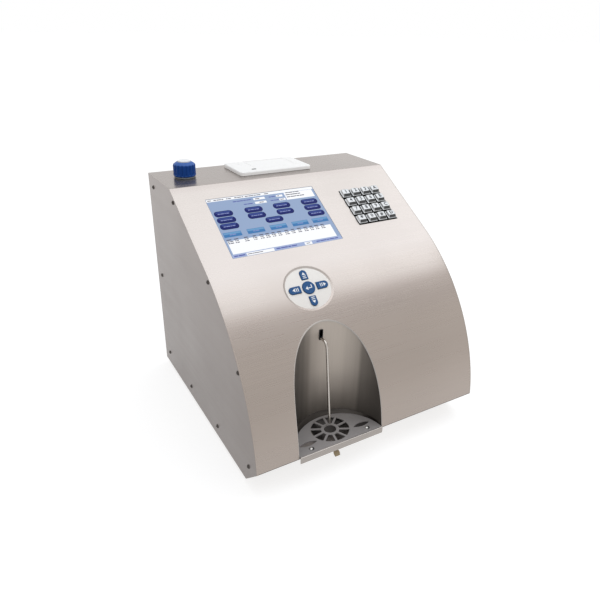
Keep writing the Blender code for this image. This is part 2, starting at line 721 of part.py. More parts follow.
def make_drain_sump():
    """A funnel under the ring of windows, cut flat where the front cover passes it."""
    low, high = SUMP_Z
    rim = high - SHEET
    profile = [
        (SUMP_TOP, high),
        (SUMP_TOP + SUMP_FLANGE, high),
        (SUMP_TOP + SUMP_FLANGE, rim),
        (SUMP_TOP + SHEET, rim),
        (SUMP_BOTTOM, low),
        (0, low),
    ]
    hollow_profile = [
        (0, high + SHEET),
        (SUMP_TOP, high + SHEET),
        (SUMP_TOP, rim),
        (SUMP_BOTTOM - SHEET / 2, low + SHEET),
        (0, low + SHEET),
    ]
    place = at(NICHE_X, RING_Y, 0)
    sump = turned("drain_sump", profile, STEEL, place, 32)
    hollow = turned("sump_hollow", hollow_profile, None, place, 32)
    limit_size = (4 * SUMP_TOP, LONG, LONG)
    limit_place = at(NICHE_X, Y_FRONT + SUMP_FLAT - LONG / 2, high)
    front_limit = block("sump_front_limit", limit_size, None, limit_place)
    bore_place = nipple_frame() @ at(0, 0, -DRAIN_BORE)
    bore = rod("sump_bore", DRAIN_BORE, THROUGH + 2 * MM, None, bore_place, 20)
    cut(sump, hollow, front_limit, bore)


def make_drain_nipple():
    radius, height, middle = NIPPLE_HEX
    hexagon = rod("nipple_hex", radius, height, None, nipple_frame() @ at(0, 0, middle), 6)
    nipple = turned("drain_nipple", NIPPLE_PROFILE, BRASS, nipple_frame(), 20, ring=True)
    join(nipple, hexagon)
    cut(nipple, rod("nipple_bore", NIPPLE_BORE, LONG + THROUGH, None, nipple_frame(), 12))


def tube_route():
    """The tube's line in (y, z): out through the wall, round one bend, then down and forward."""
    lean = math.atan2(TUBE_CORNER[0] - TUBE_END[0], TUBE_CORNER[1] - TUBE_END[1])
    turning = math.pi / 2 - lean
    back = TUBE_BEND * math.tan(turning / 2)
    centre = (TUBE_CORNER[0] + back, TUBE_Z - TUBE_BEND)
    line = [(TUBE_PIVOT.y + TUBE_TAIL, TUBE_Z)]
    line += arc(centre, TUBE_BEND, math.pi / 2, math.pi / 2 + turning, 5)
    return line + [TUBE_END]


def make_intake_tube():
    """The tube and the cross shaft that it tilts on. Its origin is on the shaft's axis."""
    route = [Vector((INTAKE_X, y, z)) - TUBE_PIVOT for y, z in tube_route()]
    place = Matrix.Translation(TUBE_PIVOT)
    tube = wire("intake_tube", route, TUBE_RADIUS, BRIGHT_STEEL, place)
    barrel = rod("tube_barrel", *BARREL, None, place @ AXIS_X, 20)
    shaft = rod("tube_shaft", *PIVOT_SHAFT, None, place @ AXIS_X, 16)
    join(tube, barrel, shaft)


def make_tube_bracket():
    """The fork behind the niche's wall that carries the tube's shaft."""
    place = Matrix.Translation(TUBE_PIVOT)
    bracket = block("tube_bracket", BRACKET_SIZE, GREY, place @ at(0, 0, -3 * MM))
    space = block("bracket_space", BRACKET_SLOT, None, place @ at(0, 0, 5.5 * MM))
    bore = rod("bracket_bore", PIVOT_SHAFT[0] + GAP, LONG, None, place @ AXIS_X, 16)
    reach = NICHE_Y + NICHE_RADIUS + SHEET + GAP
    length = TUBE_PIVOT.y - reach
    foot_place = at(INTAKE_X, reach + length / 2, TUBE_Z - BRACKET_SIZE[2] / 2 - 1 * MM)
    foot = block("bracket_foot", (BRACKET_SIZE[0], length, BRACKET_FOOT), None, foot_place)
    join(bracket, foot)
    cut(bracket, space, bore)


# Front controls


def make_display():
    """The touch glass, the display behind it and the main board on four posts."""
    screen = front_frame(SCREEN_X, SCREEN_DOWN)
    glass_top = -SHEET - GAP
    block("touch_glass", GLASS_SIZE, SCREEN_BLUE, screen @ at(0, 0, glass_top - GLASS_SIZE[2] / 2))
    module_top = glass_top - GLASS_SIZE[2] - GAP
    module_place = screen @ at(0, 0, module_top - MODULE_SIZE[2] / 2)
    block("display_module", MODULE_SIZE, BLACK, module_place, 1 * MM)
    board_top = module_top - MODULE_SIZE[2] - POST_HEIGHT
    board_place = screen @ at(0, 0, board_top - BOARD_SIZE[2] / 2)
    board = block("main_board", BOARD_SIZE, BOARD, board_place)
    tools = []
    for sx, sy in [(-1, -1), (1, -1), (-1, 1), (1, 1)]:
        spot = at(sx * POST_SPOT[0], sy * POST_SPOT[1], board_top + POST_HEIGHT / 2 - GAP)
        tools.append(rod("board_post_%d" % len(tools), POST_RADIUS, POST_HEIGHT, None, screen @ spot, 12))
    chip_place = at(*CHIP_SPOT, board_top - BOARD_SIZE[2] / 2 - CHIP_SIZE[2] / 2)
    tools.append(block("board_chip", CHIP_SIZE, None, screen @ chip_place))
    socket_place = at(*SOCKET_SPOT, board_top - BOARD_SIZE[2] / 2 - SOCKET_SIZE[2] / 2)
    tools.append(block("board_socket", SOCKET_SIZE, None, screen @ socket_place))
    join(board, *tools)


def key_mesh():
    """A key: a square body, a narrow shoulder above the sheet, then a raised plateau."""
    bm = bmesh.new()
    height = KEY_DEEP + KEY_SHOULDER
    middle = (KEY_SHOULDER - KEY_DEEP) / 2
    bmesh.ops.create_cube(bm, size=1, matrix=at(0, 0, middle) @ Matrix.Diagonal((*KEY_SIZE, height, 1)))
    top = [face for face in bm.faces if face.normal.z > 0.5]
    bmesh.ops.inset_individual(bm, faces=top, thickness=KEY_EDGE)
    bm.normal_update()
    raised = bmesh.ops.extrude_face_region(bm, geom=top)["geom"]
    bmesh.ops.delete(bm, geom=top, context="FACES_ONLY")
    corners = [item for item in raised if isinstance(item, bmesh.types.BMVert)]
    bmesh.ops.scale(bm, verts=corners, vec=(KEY_TAPER, KEY_TAPER, 1))
    bmesh.ops.translate(bm, verts=corners, vec=(0, 0, KEY_PROUD - KEY_SHOULDER))
    return mesh_from("key", bm)


def make_keypad():
    mesh = key_mesh()
    for name, place in zip(KEY_NAMES, key_places()):
        add("key_" + name, mesh.copy(), KEY_METAL, place)
    keypad = front_frame(KEYPAD_X, KEYPAD_DOWN)
    top = SHEET + GAP
    tray_place = keypad @ at(0, 0, -top - KEYPAD_BASE[2] / 2)
    tray = block("keypad_base", KEYPAD_BASE, BLACK, tray_place)
    pocket_size = (*KEYPAD_POCKET, 2 * (KEY_DEEP + KEY_TRAVEL_ROOM))
    cut(tray, block("keypad_pocket", pocket_size, None, keypad))


def pad_outline(grow=0.0, steps=64):
    across, along = PAD_HALF
    angles = [2 * math.pi * i / steps for i in range(steps)]
    return [((across + grow) * math.cos(a), (along + grow) * math.sin(a)) for a in angles]


def stepped_mesh(levels):
    """A closed mesh through outlines with as many points each, given with their heights."""
    bm = bmesh.new()
    rings = [[bm.verts.new((x, y, z)) for x, y in outline] for outline, z in levels]
    for upper, lower in zip(rings, rings[1:]):
        for i in range(len(upper)):
            bm.faces.new((upper[i - 1], lower[i - 1], lower[i], upper[i]))
    bm.faces.new(rings[0])
    bm.faces.new(list(reversed(rings[-1])))
    return mesh_from("arrow_pad", bm)


def arrow_outline(reach, grow=0.0):
    """A key with one flat and one round end, pointing along +Y from the pad's middle."""
    half = ARROW_HALF + grow
    start = ARROW_START - grow
    end = reach + grow
    return [(-half, start), (half, start)] + arc((0, end - half), half, 0, math.pi, 8)


def make_arrow_pad():
    """The oval pad follows the curved sheet, less a small step, with a flange behind the sheet."""
    frame = front_frame(NICHE_X, PAD_DOWN)
    top, flange_top, bottom = PAD_LEVELS
    rings = [(0, top), (0, flange_top), (PAD_FLANGE, flange_top), (PAD_FLANGE, bottom)]
    pad = add("arrow_pad", stepped_mesh([(pad_outline(grow), z) for grow, z in rings]), STEEL, frame)
    keep_inside(pad, upright("pad_space", case_outline(PAD_SUNK), INNER_WIDTH))
    holes = [rod("enter_hole", ENTER_RADIUS + GAP, LONG, None, frame, 32)]
    for quarter, name in enumerate(BUTTON_TOPS):
        holes.append(make_arrow_key(name, frame @ Matrix.Rotation(quarter * math.pi / 2, 4, "Z")))
    cut(pad, *holes)


def make_arrow_key(name, frame):
    """One arrow key in its frame. Returns the cutter for its hole."""
    top = BUTTON_TOPS[name]
    place = frame @ at(0, 0, (top + BUTTON_BOTTOM) / 2)
    reach = ARROW_ENDS[name]
    flat_shape("arrow_key_" + name, arrow_outline(reach), top - BUTTON_BOTTOM, BLUE, place)
    return flat_shape("arrow_hole_" + name, arrow_outline(reach, GAP), LONG, None, frame)


def make_enter_key():
    """The round key in the pad's middle, and the board with the switches behind the pad."""
    frame = front_frame(NICHE_X, PAD_DOWN)
    place = frame @ at(0, 0, (ENTER_TOP + BUTTON_BOTTOM) / 2)
    rod("enter_key", ENTER_RADIUS, ENTER_TOP - BUTTON_BOTTOM, BLUE, place, 32)
    radius, thickness, middle = SWITCH_BOARD
    rod("pad_switch_board", radius, thickness, BOARD, frame @ at(0, 0, middle), 32)


# Printer


def make_printer_housing():
    """The bezel on the top, the tub that hangs through it, and the ear holes of the lid's pin."""
    width, depth, height = PRINTER_SIZE
    outline = rounded_rectangle(width, depth, PRINTER_CORNER)
    place = at(PRINTER_X, PRINTER_Y, PRINTER_TOP - height / 2)
    housing = flat_shape("printer_housing", outline, height, WHITE, place)
    rounding = housing.modifiers.new("rounding", "BEVEL")
    rounding.width = PRINTER_ROUNDING
    rounding.segments = 2
    rounding.limit_method = "ANGLE"
    rounding.angle_limit = math.radians(60)
    tub_place = at(PAPER_MIDDLE, PRINTER_Y, PRINTER_TOP - TUB_DOWN - TUB_SIZE[2] / 2)
    tub = block("printer_tub", TUB_SIZE, None, tub_place)
    front = LID_AXIS.y - LID_SIZE[1] - LID_GAP
    back = LID_AXIS.y + BARREL_RADIUS + LID_GAP
    hollow_size = (LID_SIZE[0] + 2 * LID_GAP, back - front, TUB_SIZE[2])
    hollow_place = at(PAPER_MIDDLE, (front + back) / 2, PRINTER_TOP + TUB_DOWN - TUB_SIZE[2] / 2)
    hollow = block("printer_hollow", hollow_size, None, hollow_place)
    pin_place = Matrix.Translation(LID_AXIS) @ AXIS_X
    pin_hole = rod("pin_hole", PIN_RADIUS + GAP / 2, PIN_LENGTH + 1 * MM, None, pin_place, 12)
    button_hole = rod("feed_hole", FEED_RADIUS + GAP, LONG, None, feed_place(), 20)
    join(housing, tub)
    cut(housing, hollow, pin_hole, button_hole)


def feed_place():
    return at(PRINTER_X + FEED_SPOT[0], PRINTER_Y + FEED_SPOT[1], PRINTER_TOP)


def make_printer_lid():
    """The lid, its hinge barrel and the two cheeks that carry the roller. Origin on the hinge."""
    place = Matrix.Translation(LID_AXIS)
    width, depth, thickness = LID_SIZE
    lid_z = BARREL_RADIUS - thickness / 2
    lid = block("printer_lid", LID_SIZE, WHITE, place @ at(0, -depth / 2, lid_z))
    tools = [rod("lid_barrel", BARREL_RADIUS, width, None, place @ AXIS_X, 20)]
    for name, side in [("left_cheek", -1), ("right_cheek", 1)]:
        spot = ROLLER_SPOT + Vector((side * CHEEK_X, 0, 1 * MM))
        tools.append(block(name, CHEEK_SIZE, None, Matrix.Translation(spot)))
    join(lid, *tools)
    bore_length = 2 * LID_SIZE[0]
    roller_place = Matrix.Translation(ROLLER_SPOT) @ AXIS_X
    pin_bore = rod("lid_pin_bore", PIN_BORE, bore_length, None, place @ AXIS_X, 12)
    roller_bore = rod("lid_roller_bore", ROLLER_BORE, bore_length, None, roller_place, 12)
    cut(lid, pin_bore, roller_bore)
    rod("lid_hinge_pin", PIN_RADIUS, PIN_LENGTH, BRIGHT_STEEL, place @ AXIS_X, 12)


def make_paper_feed():
    """The rubber roller in the lid, and the paper roll in the tub."""
    shaft, shaft_half = ROLLER_SHAFT
    profile = [
        (0, shaft_half),
        (shaft, shaft_half),
        (shaft, ROLLER_HALF),
        (ROLLER_RADIUS, ROLLER_HALF),
        (ROLLER_RADIUS, -ROLLER_HALF),
        (shaft, -ROLLER_HALF),
        (shaft, -shaft_half),
        (0, -shaft_half),
    ]
    turned("platen_roller", profile, RUBBER, Matrix.Translation(ROLLER_SPOT) @ AXIS_X, 20)
    ring = [
        (ROLL_CORE, ROLL_HALF),
        (ROLL_RADIUS, ROLL_HALF),
        (ROLL_RADIUS, -ROLL_HALF),
        (ROLL_CORE, -ROLL_HALF),
    ]
    turned("paper_roll", ring, PAPER, Matrix.Translation(ROLL_SPOT) @ AXIS_X, 32, ring=True)


def make_feed_button():
    profile = [
        (0, FEED_PROUD),
        (FEED_RADIUS - FEED_PROUD, FEED_PROUD),
        (FEED_RADIUS, 0),
        (FEED_RADIUS, -FEED_DEEP),
        (0, -FEED_DEEP),
    ]
    turned("printer_feed_button", profile, WHITE, feed_place(), 20)


# Rinse bottle


def make_bottle():
    """A blow-moulded bottle that hangs by its neck, and the ring that holds it in the top's hole."""
    wall = BOTTLE_WALL
    top, shoulder, bottom = [Z_TOP + height for height in BOTTLE_HEIGHTS]
    outer = [
        (NECK_RADIUS, top),
        (NECK_RADIUS, shoulder + 8 * MM),
        (SHOULDER_RADIUS, shoulder),
        (BOTTLE_RADIUS, shoulder - 10 * MM),
        (BOTTLE_RADIUS, bottom + 3 * MM),
        (BOTTLE_RADIUS - 3 * MM, bottom),
        (0, bottom),
    ]
    inner = [
        (0, bottom + wall),
        (BOTTLE_RADIUS - 3.4 * MM, bottom + wall),
        (BOTTLE_RADIUS - wall, bottom + 3.4 * MM),
        (BOTTLE_RADIUS - wall, shoulder - 10.3 * MM),
        (SHOULDER_RADIUS - wall, shoulder - wall),
        (NECK_RADIUS - NECK_WALL, shoulder + 7 * MM),
        (NECK_RADIUS - NECK_WALL, top),
    ]
    turned("rinse_bottle", outer + inner, CLEAR_PLASTIC, at(BOTTLE_X, BOTTLE_Y, 0), 32, ring=True)
    radius, height = NECK_RING
    inside = NECK_RADIUS + GAP
    ring = [(inside, height), (radius, height), (radius, 0), (inside, 0)]
    turned("neck_ring", ring, WHITE, at(BOTTLE_X, BOTTLE_Y, Z_TOP + GAP), 32, ring=True)


def rib_outline():
    steps = CAP_RIBS * 2
    outline = []
    for i in range(steps):
        radius = CAP_RADIUS - RIB_DEPTH * ((i + 1) % 2)
        angle = 2 * math.pi * i / steps
        outline.append((radius * math.cos(angle), radius * math.sin(angle)))
    return outline


def make_cap():
    """The ribbed screw cap, open in the middle of its top."""
    bottom = Z_TOP + CAP_BOTTOM_UP
    side_top = bottom + CAP_SIDE
    place = at(BOTTLE_X, BOTTLE_Y, 0)
    cap_place = place @ at(0, 0, bottom + CAP_SIDE / 2)
    cap = flat_shape("bottle_cap", rib_outline(), CAP_SIDE, BLUE, cap_place)
    overlap = 0.1 * MM
    cone_place = place @ at(0, 0, side_top + (CAP_CONE - overlap) / 2)
    cone_radius = CAP_RADIUS - RIB_DEPTH - 0.2 * MM
    cone_height = CAP_CONE + overlap
    cone = rod("cap_chamfer", cone_radius, cone_height, None, cone_place, 48, CAP_TOP_RADIUS)
    join(cap, cone)
    web = side_top - CAP_WEB
    top = side_top + CAP_CONE
    hollow_profile = [
        (0, top + 2 * MM),
        (CAP_WINDOW, top + 2 * MM),
        (CAP_WINDOW, web),
        (CAP_INSIDE, web),
        (CAP_INSIDE, bottom - 2 * MM),
        (0, bottom - 2 * MM),
    ]
    cut(cap, turned("cap_hollow", hollow_profile, None, place, 32))


def make_cap_insert():
    """The disc that shows in the cap's top and stays still while the cap turns."""
    flat, neck, flange = INSERT_RADII
    top = Z_TOP + CAP_BOTTOM_UP + CAP_SIDE + CAP_CONE
    under = top - CAP_CONE - CAP_WEB - GAP
    profile = [
        (0, top + INSERT_PROUD),
        (flat, top + INSERT_PROUD),
        (neck, top - 0.2 * MM),
        (neck, under),
        (flange, under),
        (flange, under - INSERT_FLANGE),
        (0, under - INSERT_FLANGE),
    ]
    turned("cap_insert", profile, WHITE, at(BOTTLE_X, BOTTLE_Y, 0), 32)


# Inside the case


def make_measuring_cell():
    """The heated block that the milk is drawn through, on a stand that reaches the base."""
    place = Matrix.Translation(CELL_SPOT)
    cell = block("measuring_cell", CELL_SIZE, GREY, place, SOFT_EDGE)
    height = CELL_SPOT.z - CELL_SIZE[2] / 2 - FLOOR_Z + SOFT_EDGE
    stand_place = at(CELL_SPOT.x, CELL_SPOT.y, FLOOR_Z + height / 2)
    stand = block("cell_stand", (*CELL_STAND, height), None, stand_place)
    radius, length, up = CELL_INLET
    inlet = rod("cell_inlet", radius, length, None, place @ at(0, 0, up), 16)
    join(cell, stand, inlet)


def make_pump_head():
    """A roller pump's head: a round bore, a shaft hole and a foot."""
    head = block("pump_head", PUMP_HEAD, GREY, Matrix.Translation(PUMP_SPOT), SOFT_EDGE)
    height = PUMP_SPOT.z - PUMP_HEAD[2] / 2 + SOFT_EDGE - FLOOR_Z
    foot_place = at(PUMP_SPOT.x, PUMP_SPOT.y, FLOOR_Z + height / 2)
    join(head, block("pump_foot", (*PUMP_FOOT, height), None, foot_place))
    place = Matrix.Translation(PUMP_SPOT) @ AXIS_Y
    bore_place = place @ at(0, 0, PUMP_FRONT)
    bore = rod("pump_bore", PUMP_BORE, PUMP_HEAD[1], None, bore_place, 32)
    shaft_hole = rod("pump_shaft_hole", SHAFT_HOLE, 2 * LONG, None, place, 16)
    cut(head, bore, shaft_hole)


def make_pump_drive():
    """The rotor with its rollers, and the motor behind the head."""
    place = Matrix.Translation(PUMP_SPOT) @ AXIS_Y
    rotor = rod("pump_rotor", *ROTOR_HUB, WHITE, place @ at(0, 0, PUMP_FRONT), 24)
    radius, length, off = ROTOR_ROLLER
    tools = []
    for i in range(ROTOR_ROLLERS):
        turn = Matrix.Rotation(i * 2 * math.pi / ROTOR_ROLLERS, 4, "Z")
        spot = place @ turn @ at(off, 0, PUMP_FRONT)
        tools.append(rod("pump_roller_%d" % i, radius, length, None, spot, 16))
    radius, length, middle = ROTOR_SHAFT
    tools.append(rod("pump_shaft", radius, length, None, place @ at(0, 0, middle), 16))
    join(rotor, *tools)
    radius, length = MOTOR_SIZE
    motor_place = place @ at(0, 0, PUMP_HEAD[1] / 2 + GAP + length / 2)
    motor = rod("pump_motor", radius, length, BLACK, motor_place, 32)
    hole_place = place @ at(0, 0, PUMP_HEAD[1] / 2)
    cut(motor, rod("motor_shaft_hole", SHAFT_HOLE, 12 * MM, None, hole_place, 16))


def make_power_supply():
    spot = at(SUPPLY_X, Y_BACK - SUPPLY_FROM_BACK, FLOOR_Z + SUPPLY_SIZE[2] / 2)
    block("power_supply", SUPPLY_SIZE, STEEL, spot, SOFT_EDGE)


# Back


def make_power_inlet():
    """The mains inlet: a flange, a body, a socket with three blades and the switch's window."""
    width, height, thickness = INLET_FLANGE
    outline = rounded_rectangle(width, height, INLET_CORNER, 3)
    place = Matrix.Translation((INLET_X, INLET_FACE - thickness / 2, REAR_Z)) @ AXIS_Y
    inlet = flat_shape("power_inlet", outline, thickness, BLACK, place)
    body_place = at(INLET_X, INLET_FACE - 1 * MM - INLET_BODY[1] / 2, REAR_Z)
    body = block("inlet_body", INLET_BODY, None, body_place)
    socket_x = INLET_X + SOCKET_OFF
    socket_width, socket_depth, socket_height = SOCKET_HOLE
    socket_size = (socket_width, 2 * socket_depth, socket_height)
    socket = block("inlet_socket", socket_size, None, at(socket_x, INLET_FACE, REAR_Z))
    window_place = at(ROCKER_PIVOT.x, INLET_FACE, REAR_Z)
    window = block("rocker_window", ROCKER_WINDOW, None, window_place)
    join(inlet, body)
    cut(inlet, socket, window)
    blade_y = INLET_FACE - socket_depth + BLADE_SIZE[1] / 2 - 1 * MM
    blades = []
    for x, z in BLADE_SPOTS:
        blade_place = at(socket_x + x, blade_y, REAR_Z + z)
        blades.append(block("blade_%d" % len(blades), BLADE_SIZE, None, blade_place))
    join(inlet, *blades)


def make_power_switch():
    """The rocker, tilted to its off position."""
    tilt = Matrix.Translation(ROCKER_PIVOT) @ Matrix.Rotation(ROCKER_TILT, 4, "X")
    block("power_switch", ROCKER_SIZE, BLACK, tilt @ at(0, ROCKER_FORWARD, 0), ROCKER_EDGE)


def make_data_port():
    """A small connector with a screw post on each side."""
    face = Y_BACK + GAP
    flange_place = at(PORT_X, face + PORT_FLANGE[1] / 2, REAR_Z)
    flange = block("data_port", PORT_FLANGE, BRIGHT_STEEL, flange_place)
    shell_place = at(PORT_X, face - 3 * MM, REAR_Z)
    tools = [block("port_shell", PORT_SHELL, None, shell_place, PORT_CORNER)]
    radius, length, off = JACK
    for name, side in [("left_jack", -1), ("right_jack", 1)]:
        spot = at(PORT_X + side * off, face + length / 2 + 0.1 * MM, REAR_Z)
        tools.append(rod(name, radius, length, None, spot @ AXIS_Y, 6))
    join(flange, *tools)


clear_scene()
PARTS = new_collection("milk_analyzer")
CUTTERS = new_collection("cutters")
make_side_panels()
make_front_top_cover()
make_base_plate()
make_rear_panel()
make_feet()
make_niche_liner()
make_cup_platform()
make_drain_sump()
make_drain_nipple()
make_intake_tube()
make_tube_bracket()
make_display()
make_keypad()
make_arrow_pad()
make_enter_key()
make_printer_housing()
make_printer_lid()
make_paper_feed()
make_feed_button()
make_bottle()
make_cap()
make_cap_insert()
make_measuring_cell()
make_pump_head()
make_pump_drive()
make_power_supply()
make_power_inlet()
make_power_switch()
make_data_port()
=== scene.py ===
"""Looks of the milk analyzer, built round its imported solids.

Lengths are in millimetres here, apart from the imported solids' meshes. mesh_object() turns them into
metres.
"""

from math import asin, atan2, copysign, cos, pi, radians, sin, sqrt, tan

import bmesh
import bpy
from mathutils import Matrix, Vector


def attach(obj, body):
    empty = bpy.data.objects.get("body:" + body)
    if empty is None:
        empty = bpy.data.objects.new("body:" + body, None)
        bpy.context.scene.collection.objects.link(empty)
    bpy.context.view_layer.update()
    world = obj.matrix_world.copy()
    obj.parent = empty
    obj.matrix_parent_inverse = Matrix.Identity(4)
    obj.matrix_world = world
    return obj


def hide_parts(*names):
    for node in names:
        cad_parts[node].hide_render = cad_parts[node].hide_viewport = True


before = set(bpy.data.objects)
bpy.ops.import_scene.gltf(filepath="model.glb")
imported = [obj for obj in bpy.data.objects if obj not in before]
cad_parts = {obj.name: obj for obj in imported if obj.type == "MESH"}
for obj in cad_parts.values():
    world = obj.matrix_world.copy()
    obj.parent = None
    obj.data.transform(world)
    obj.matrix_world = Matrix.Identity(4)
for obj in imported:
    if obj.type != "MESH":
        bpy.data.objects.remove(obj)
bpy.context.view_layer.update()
scene = bpy.context.scene

MM = 0.001

# Case, as in the solids. The front's sheet runs from a bend at the top over a flat slope to an arc
WIDTH = 320
SIDE_SHEET = 2
SHEET = 1.2
GAP = 0.3
Y_BACK = 161.6525
Y_FRONT = -164.6525
Y_BEND = 71.6525
Z_BASE = 8
Z_TOP = 298
Z_FOOT = 38
HEM = 0.8
CHAMFER = 30
SLOPE = radians(30.5)
SLOPE_LENGTH = 127.5
FRONT_RADIUS = 260
BEND = 2.5
INNER_HALF = WIDTH / 2 - SIDE_SHEET - 0.03
TURN = pi / 2 + SLOPE
SLOPE_OUT = Vector((-sin(SLOPE), cos(SLOPE)))
SLOPE_END = Vector((Y_BEND - SLOPE_LENGTH * cos(SLOPE), Z_TOP - SLOPE_LENGTH * sin(SLOPE)))
ARC_CENTRE = SLOPE_END - SLOPE_OUT * FRONT_RADIUS
BEND_REACH = BEND * tan(SLOPE / 2)
BEND_CENTRE = Vector((Y_BEND + BEND_REACH, Z_TOP - BEND))

# Niche and platform. A squeeze is the share of a round form's depth that is left
NICHE_X = -48
NICHE_Y = Y_FRONT + 0.8
NICHE_RADIUS = 58
ARCH_ROUND = 0.7
ARCH_SQUEEZE = 0.978
PLATFORM_Z = 39.6
PLATFORM_SHEET = 1.2
PLATFORM_RADIUS = 57.4
PLATFORM_REACH = 52.5
PLATFORM_MIDDLE = Y_FRONT - 2
LIP_PROUD = 2.5
LIP_HEIGHT = 8.2
LIP_FOLD = 1.6
RING_Y = Y_FRONT + 25.6
RING_TURN = radians(-28.4)
RING_WINDOWS = 10
RING_X = NICHE_X - 1.0
RING_RADII = (7.8, 11.5, 24.3)
RING_SQUEEZE = 0.9
SPOKE = 2.7
LENS = (24, 7, 38, 14.9)  # width, height, distance from the middle, distance behind the front

# Tube
TUBE_X = -47
TUBE_Z = 151
TUBE_PIVOT_Y = Y_FRONT + 84.3
TUBE_CORNER_Y = Y_FRONT + 45
TUBE_END = (Y_FRONT + 30.2, Z_BASE + 37.5)
TUBE_RADIUS = 1.7
TUBE_BORE = 0.9
TUBE_BEND = 9
TUBE_RISE = 0.5
TUBE_BARREL = (4, 8)  # radius, length
TUBE_SHAFT = (2, 21)
SLOT = (4.5, 13)
SLOT_LOW = 1.8  # from the tube's axis down to the slot's foot

# Front controls. A place on the front is (x, distance down from the slope's upper edge)
SCREEN = (152, 94.5)
SCREEN_FACE = -0.3
SCREEN_AT = (-47, 72)
KEY = (13.4, 13.2)
KEY_PITCH = (16.1, 15.9)
KEY_TOP = 4.4
KEY_SHIFT = 1.3
KEYPAD_AT = (95.5, 71.1)
KEYPAD_OPENING = (63.5, 62.9, 0, -0.4)  # width, height, and its middle from the keypad's
KEY_ROWS = ("123A", "456B", "789C", "*0#D")
PAD_AT = (NICHE_X, 176)
PAD_HALF = (30, 26.6)
PAD_RIM = (32.6, 29)
PAD_SUNK = 1
ARROW_HALF = 4.5
ARROW_START = 10.9  # from the pad's middle, as the ends are that go with the tops
ARROWS = {"up": (23.2, -0.3), "left": (26.2, 0.3), "down": (23.2, -0.3), "right": (26.2, 0.3)}
BUTTON_BOTTOM = -5.2
ENTER_RADIUS = 8
ENTER_TOP = 0.3

# Printer
PRINTER_X = -2
PRINTER_Y = Y_BACK - 40.5
PRINTER_TOP = 303.3
PRINTER = (108, 62, 5)
PAPER_X = 4.5
LID = (63, 42, 3)
LID_AXIS = (PAPER_X, PRINTER_Y + 25.5, PRINTER_TOP - 2.5)
TUB = (70, 55, 44)
ROLL = (6, 17.5, 28.5)  # radius of its core, radius of its rim, half its width
ROLL_AT = (PAPER_X, LID_AXIS[1] - 19, PRINTER_TOP - 23)
ROLL_TURNS = 10
FEED_AT = (PRINTER_X - 35.6, PRINTER_Y + 17)
FEED_HOLE = 2.8
LAMP_AT = (-32, 101.6)
LAMP = (6.4, 3.4)

# Bottle and cap
BOTTLE_AT = (-123, Y_BACK - 41.6)
NECK_HOLE = 12.6
CAP_BOTTOM = Z_TOP + 2.4
CAP_SIDE = 14.6
CAP_CONE = 4
CAP_RADIUS = 14.5
CAP_RIBS = 18
COLLAR_SLIM = 0.9
INSERT_LIFT = 0.7

# Screws: (y, z) on each side panel, as measured on the visible one, and (x, z) on the back
SIDE_SCREWS = ((141.7, 283), (141.7, 156), (139.7, 28), (45.7, 24), (-50.3, 23.5), (-143.3, 34),
               (59.7, 284), (-46.3, 222), (-122.3, 147.5))
REAR_SCREWS = [(x, z) for z in (20, 155, 286) for x in (-148, 0, 148) if x or z != 155]
PLATFORM_SCREW = (39.5, 6.1)  # from the niche's middle, and behind the front

# Camera: direction in degrees, distance and target in millimetres
CAMERA_AZIMUTH = -30.377
CAMERA_ELEVATION = 26.645
CAMERA_ROLL = 1.391
CAMERA_DISTANCE = 736.7
CAMERA_TARGET = (-14.43, -0.34, 146.18)
CAMERA_LENS = 32.62
SENSOR = 36

# Steel: colours, and the painted shade of the front and of the sides as (height, tint) stops, which stand
# in for the reflections that the steel shows
STEEL = (0.412, 0.378, 0.356)
EDGE_STEEL = (0.352, 0.322, 0.30)
FRONT_PAINTED_SHADE = [(38, (0.90, 0.85, 0.81)), (100, (0.86, 0.805, 0.76)), (150, (0.90, 0.845, 0.80)),
               (185, (0.87, 0.82, 0.79)), (206, (0.965, 0.94, 0.92)), (226, (1.0, 0.99, 0.985)),
               (290, (1.0, 0.995, 0.985)), (298, (0.95, 0.93, 0.925))]
SIDE_PAINTED_SHADE = [(8, 0.74), (90, 0.78), (200, 0.84), (260, 0.93), (298, 1.0)]

# Studio: light from the world on the object, light of the floor itself, and the softbox
FLOOR_SIZE = 60000
WORLD_LIGHT = 0.7
FLOOR_LIFT = 0.72
SOFTBOX_POWER = 12
SOFTBOX_COLOUR = (0.89, 0.94, 1.0)
SOFTBOX_SIZE = (2000, 1470)
SOFTBOX_AT = (550, -135, 1500)


# Materials, each kept under its name

LOOKS = {}


def material(name):
    made = bpy.data.materials.new(name)
    made.use_nodes = True
    LOOKS[name] = made
    return made.node_tree, made.node_tree.nodes["Principled BSDF"]


def feed(tree, target, inputs):
    """Sets a node's inputs: a socket is linked, and anything else is the input's own value."""
    for key, value in inputs.items():
        if isinstance(value, bpy.types.NodeSocket):
            tree.links.new(value, target.inputs[key])
        else:
            target.inputs[key].default_value = value


def node(tree, kind, inputs=None, **settings):
    """A new shader node with its inputs fed."""
    made = tree.nodes.new("ShaderNode" + kind)
    for key, value in settings.items():
        setattr(made, key, value)
    feed(tree, made, inputs or {})
    return made


def calculate(tree, operation, *values):
    return node(tree, "Math", dict(enumerate(values)), operation=operation).outputs[0]


def grain(tree, scale, detail=4.0):
    """Noise in the object's own space, stretched by a scale for each axis."""
    place = node(tree, "TexCoord").outputs["Object"]
    stretch = node(tree, "Mapping", {"Vector": place, "Scale": scale})
    inputs = {"Vector": stretch.outputs["Vector"], "Scale": 1.0, "Detail": detail, "Roughness": 0.6}
    return node(tree, "TexNoise", inputs).outputs["Fac"]


def spread(tree, source, low, high, start=0.3, end=0.7):
    """Maps a value's stretch from start to end onto low to high."""
    limits = {"Value": source, "From Min": start, "From Max": end, "To Min": low, "To Max": high}
    return node(tree, "MapRange", limits).outputs["Result"]


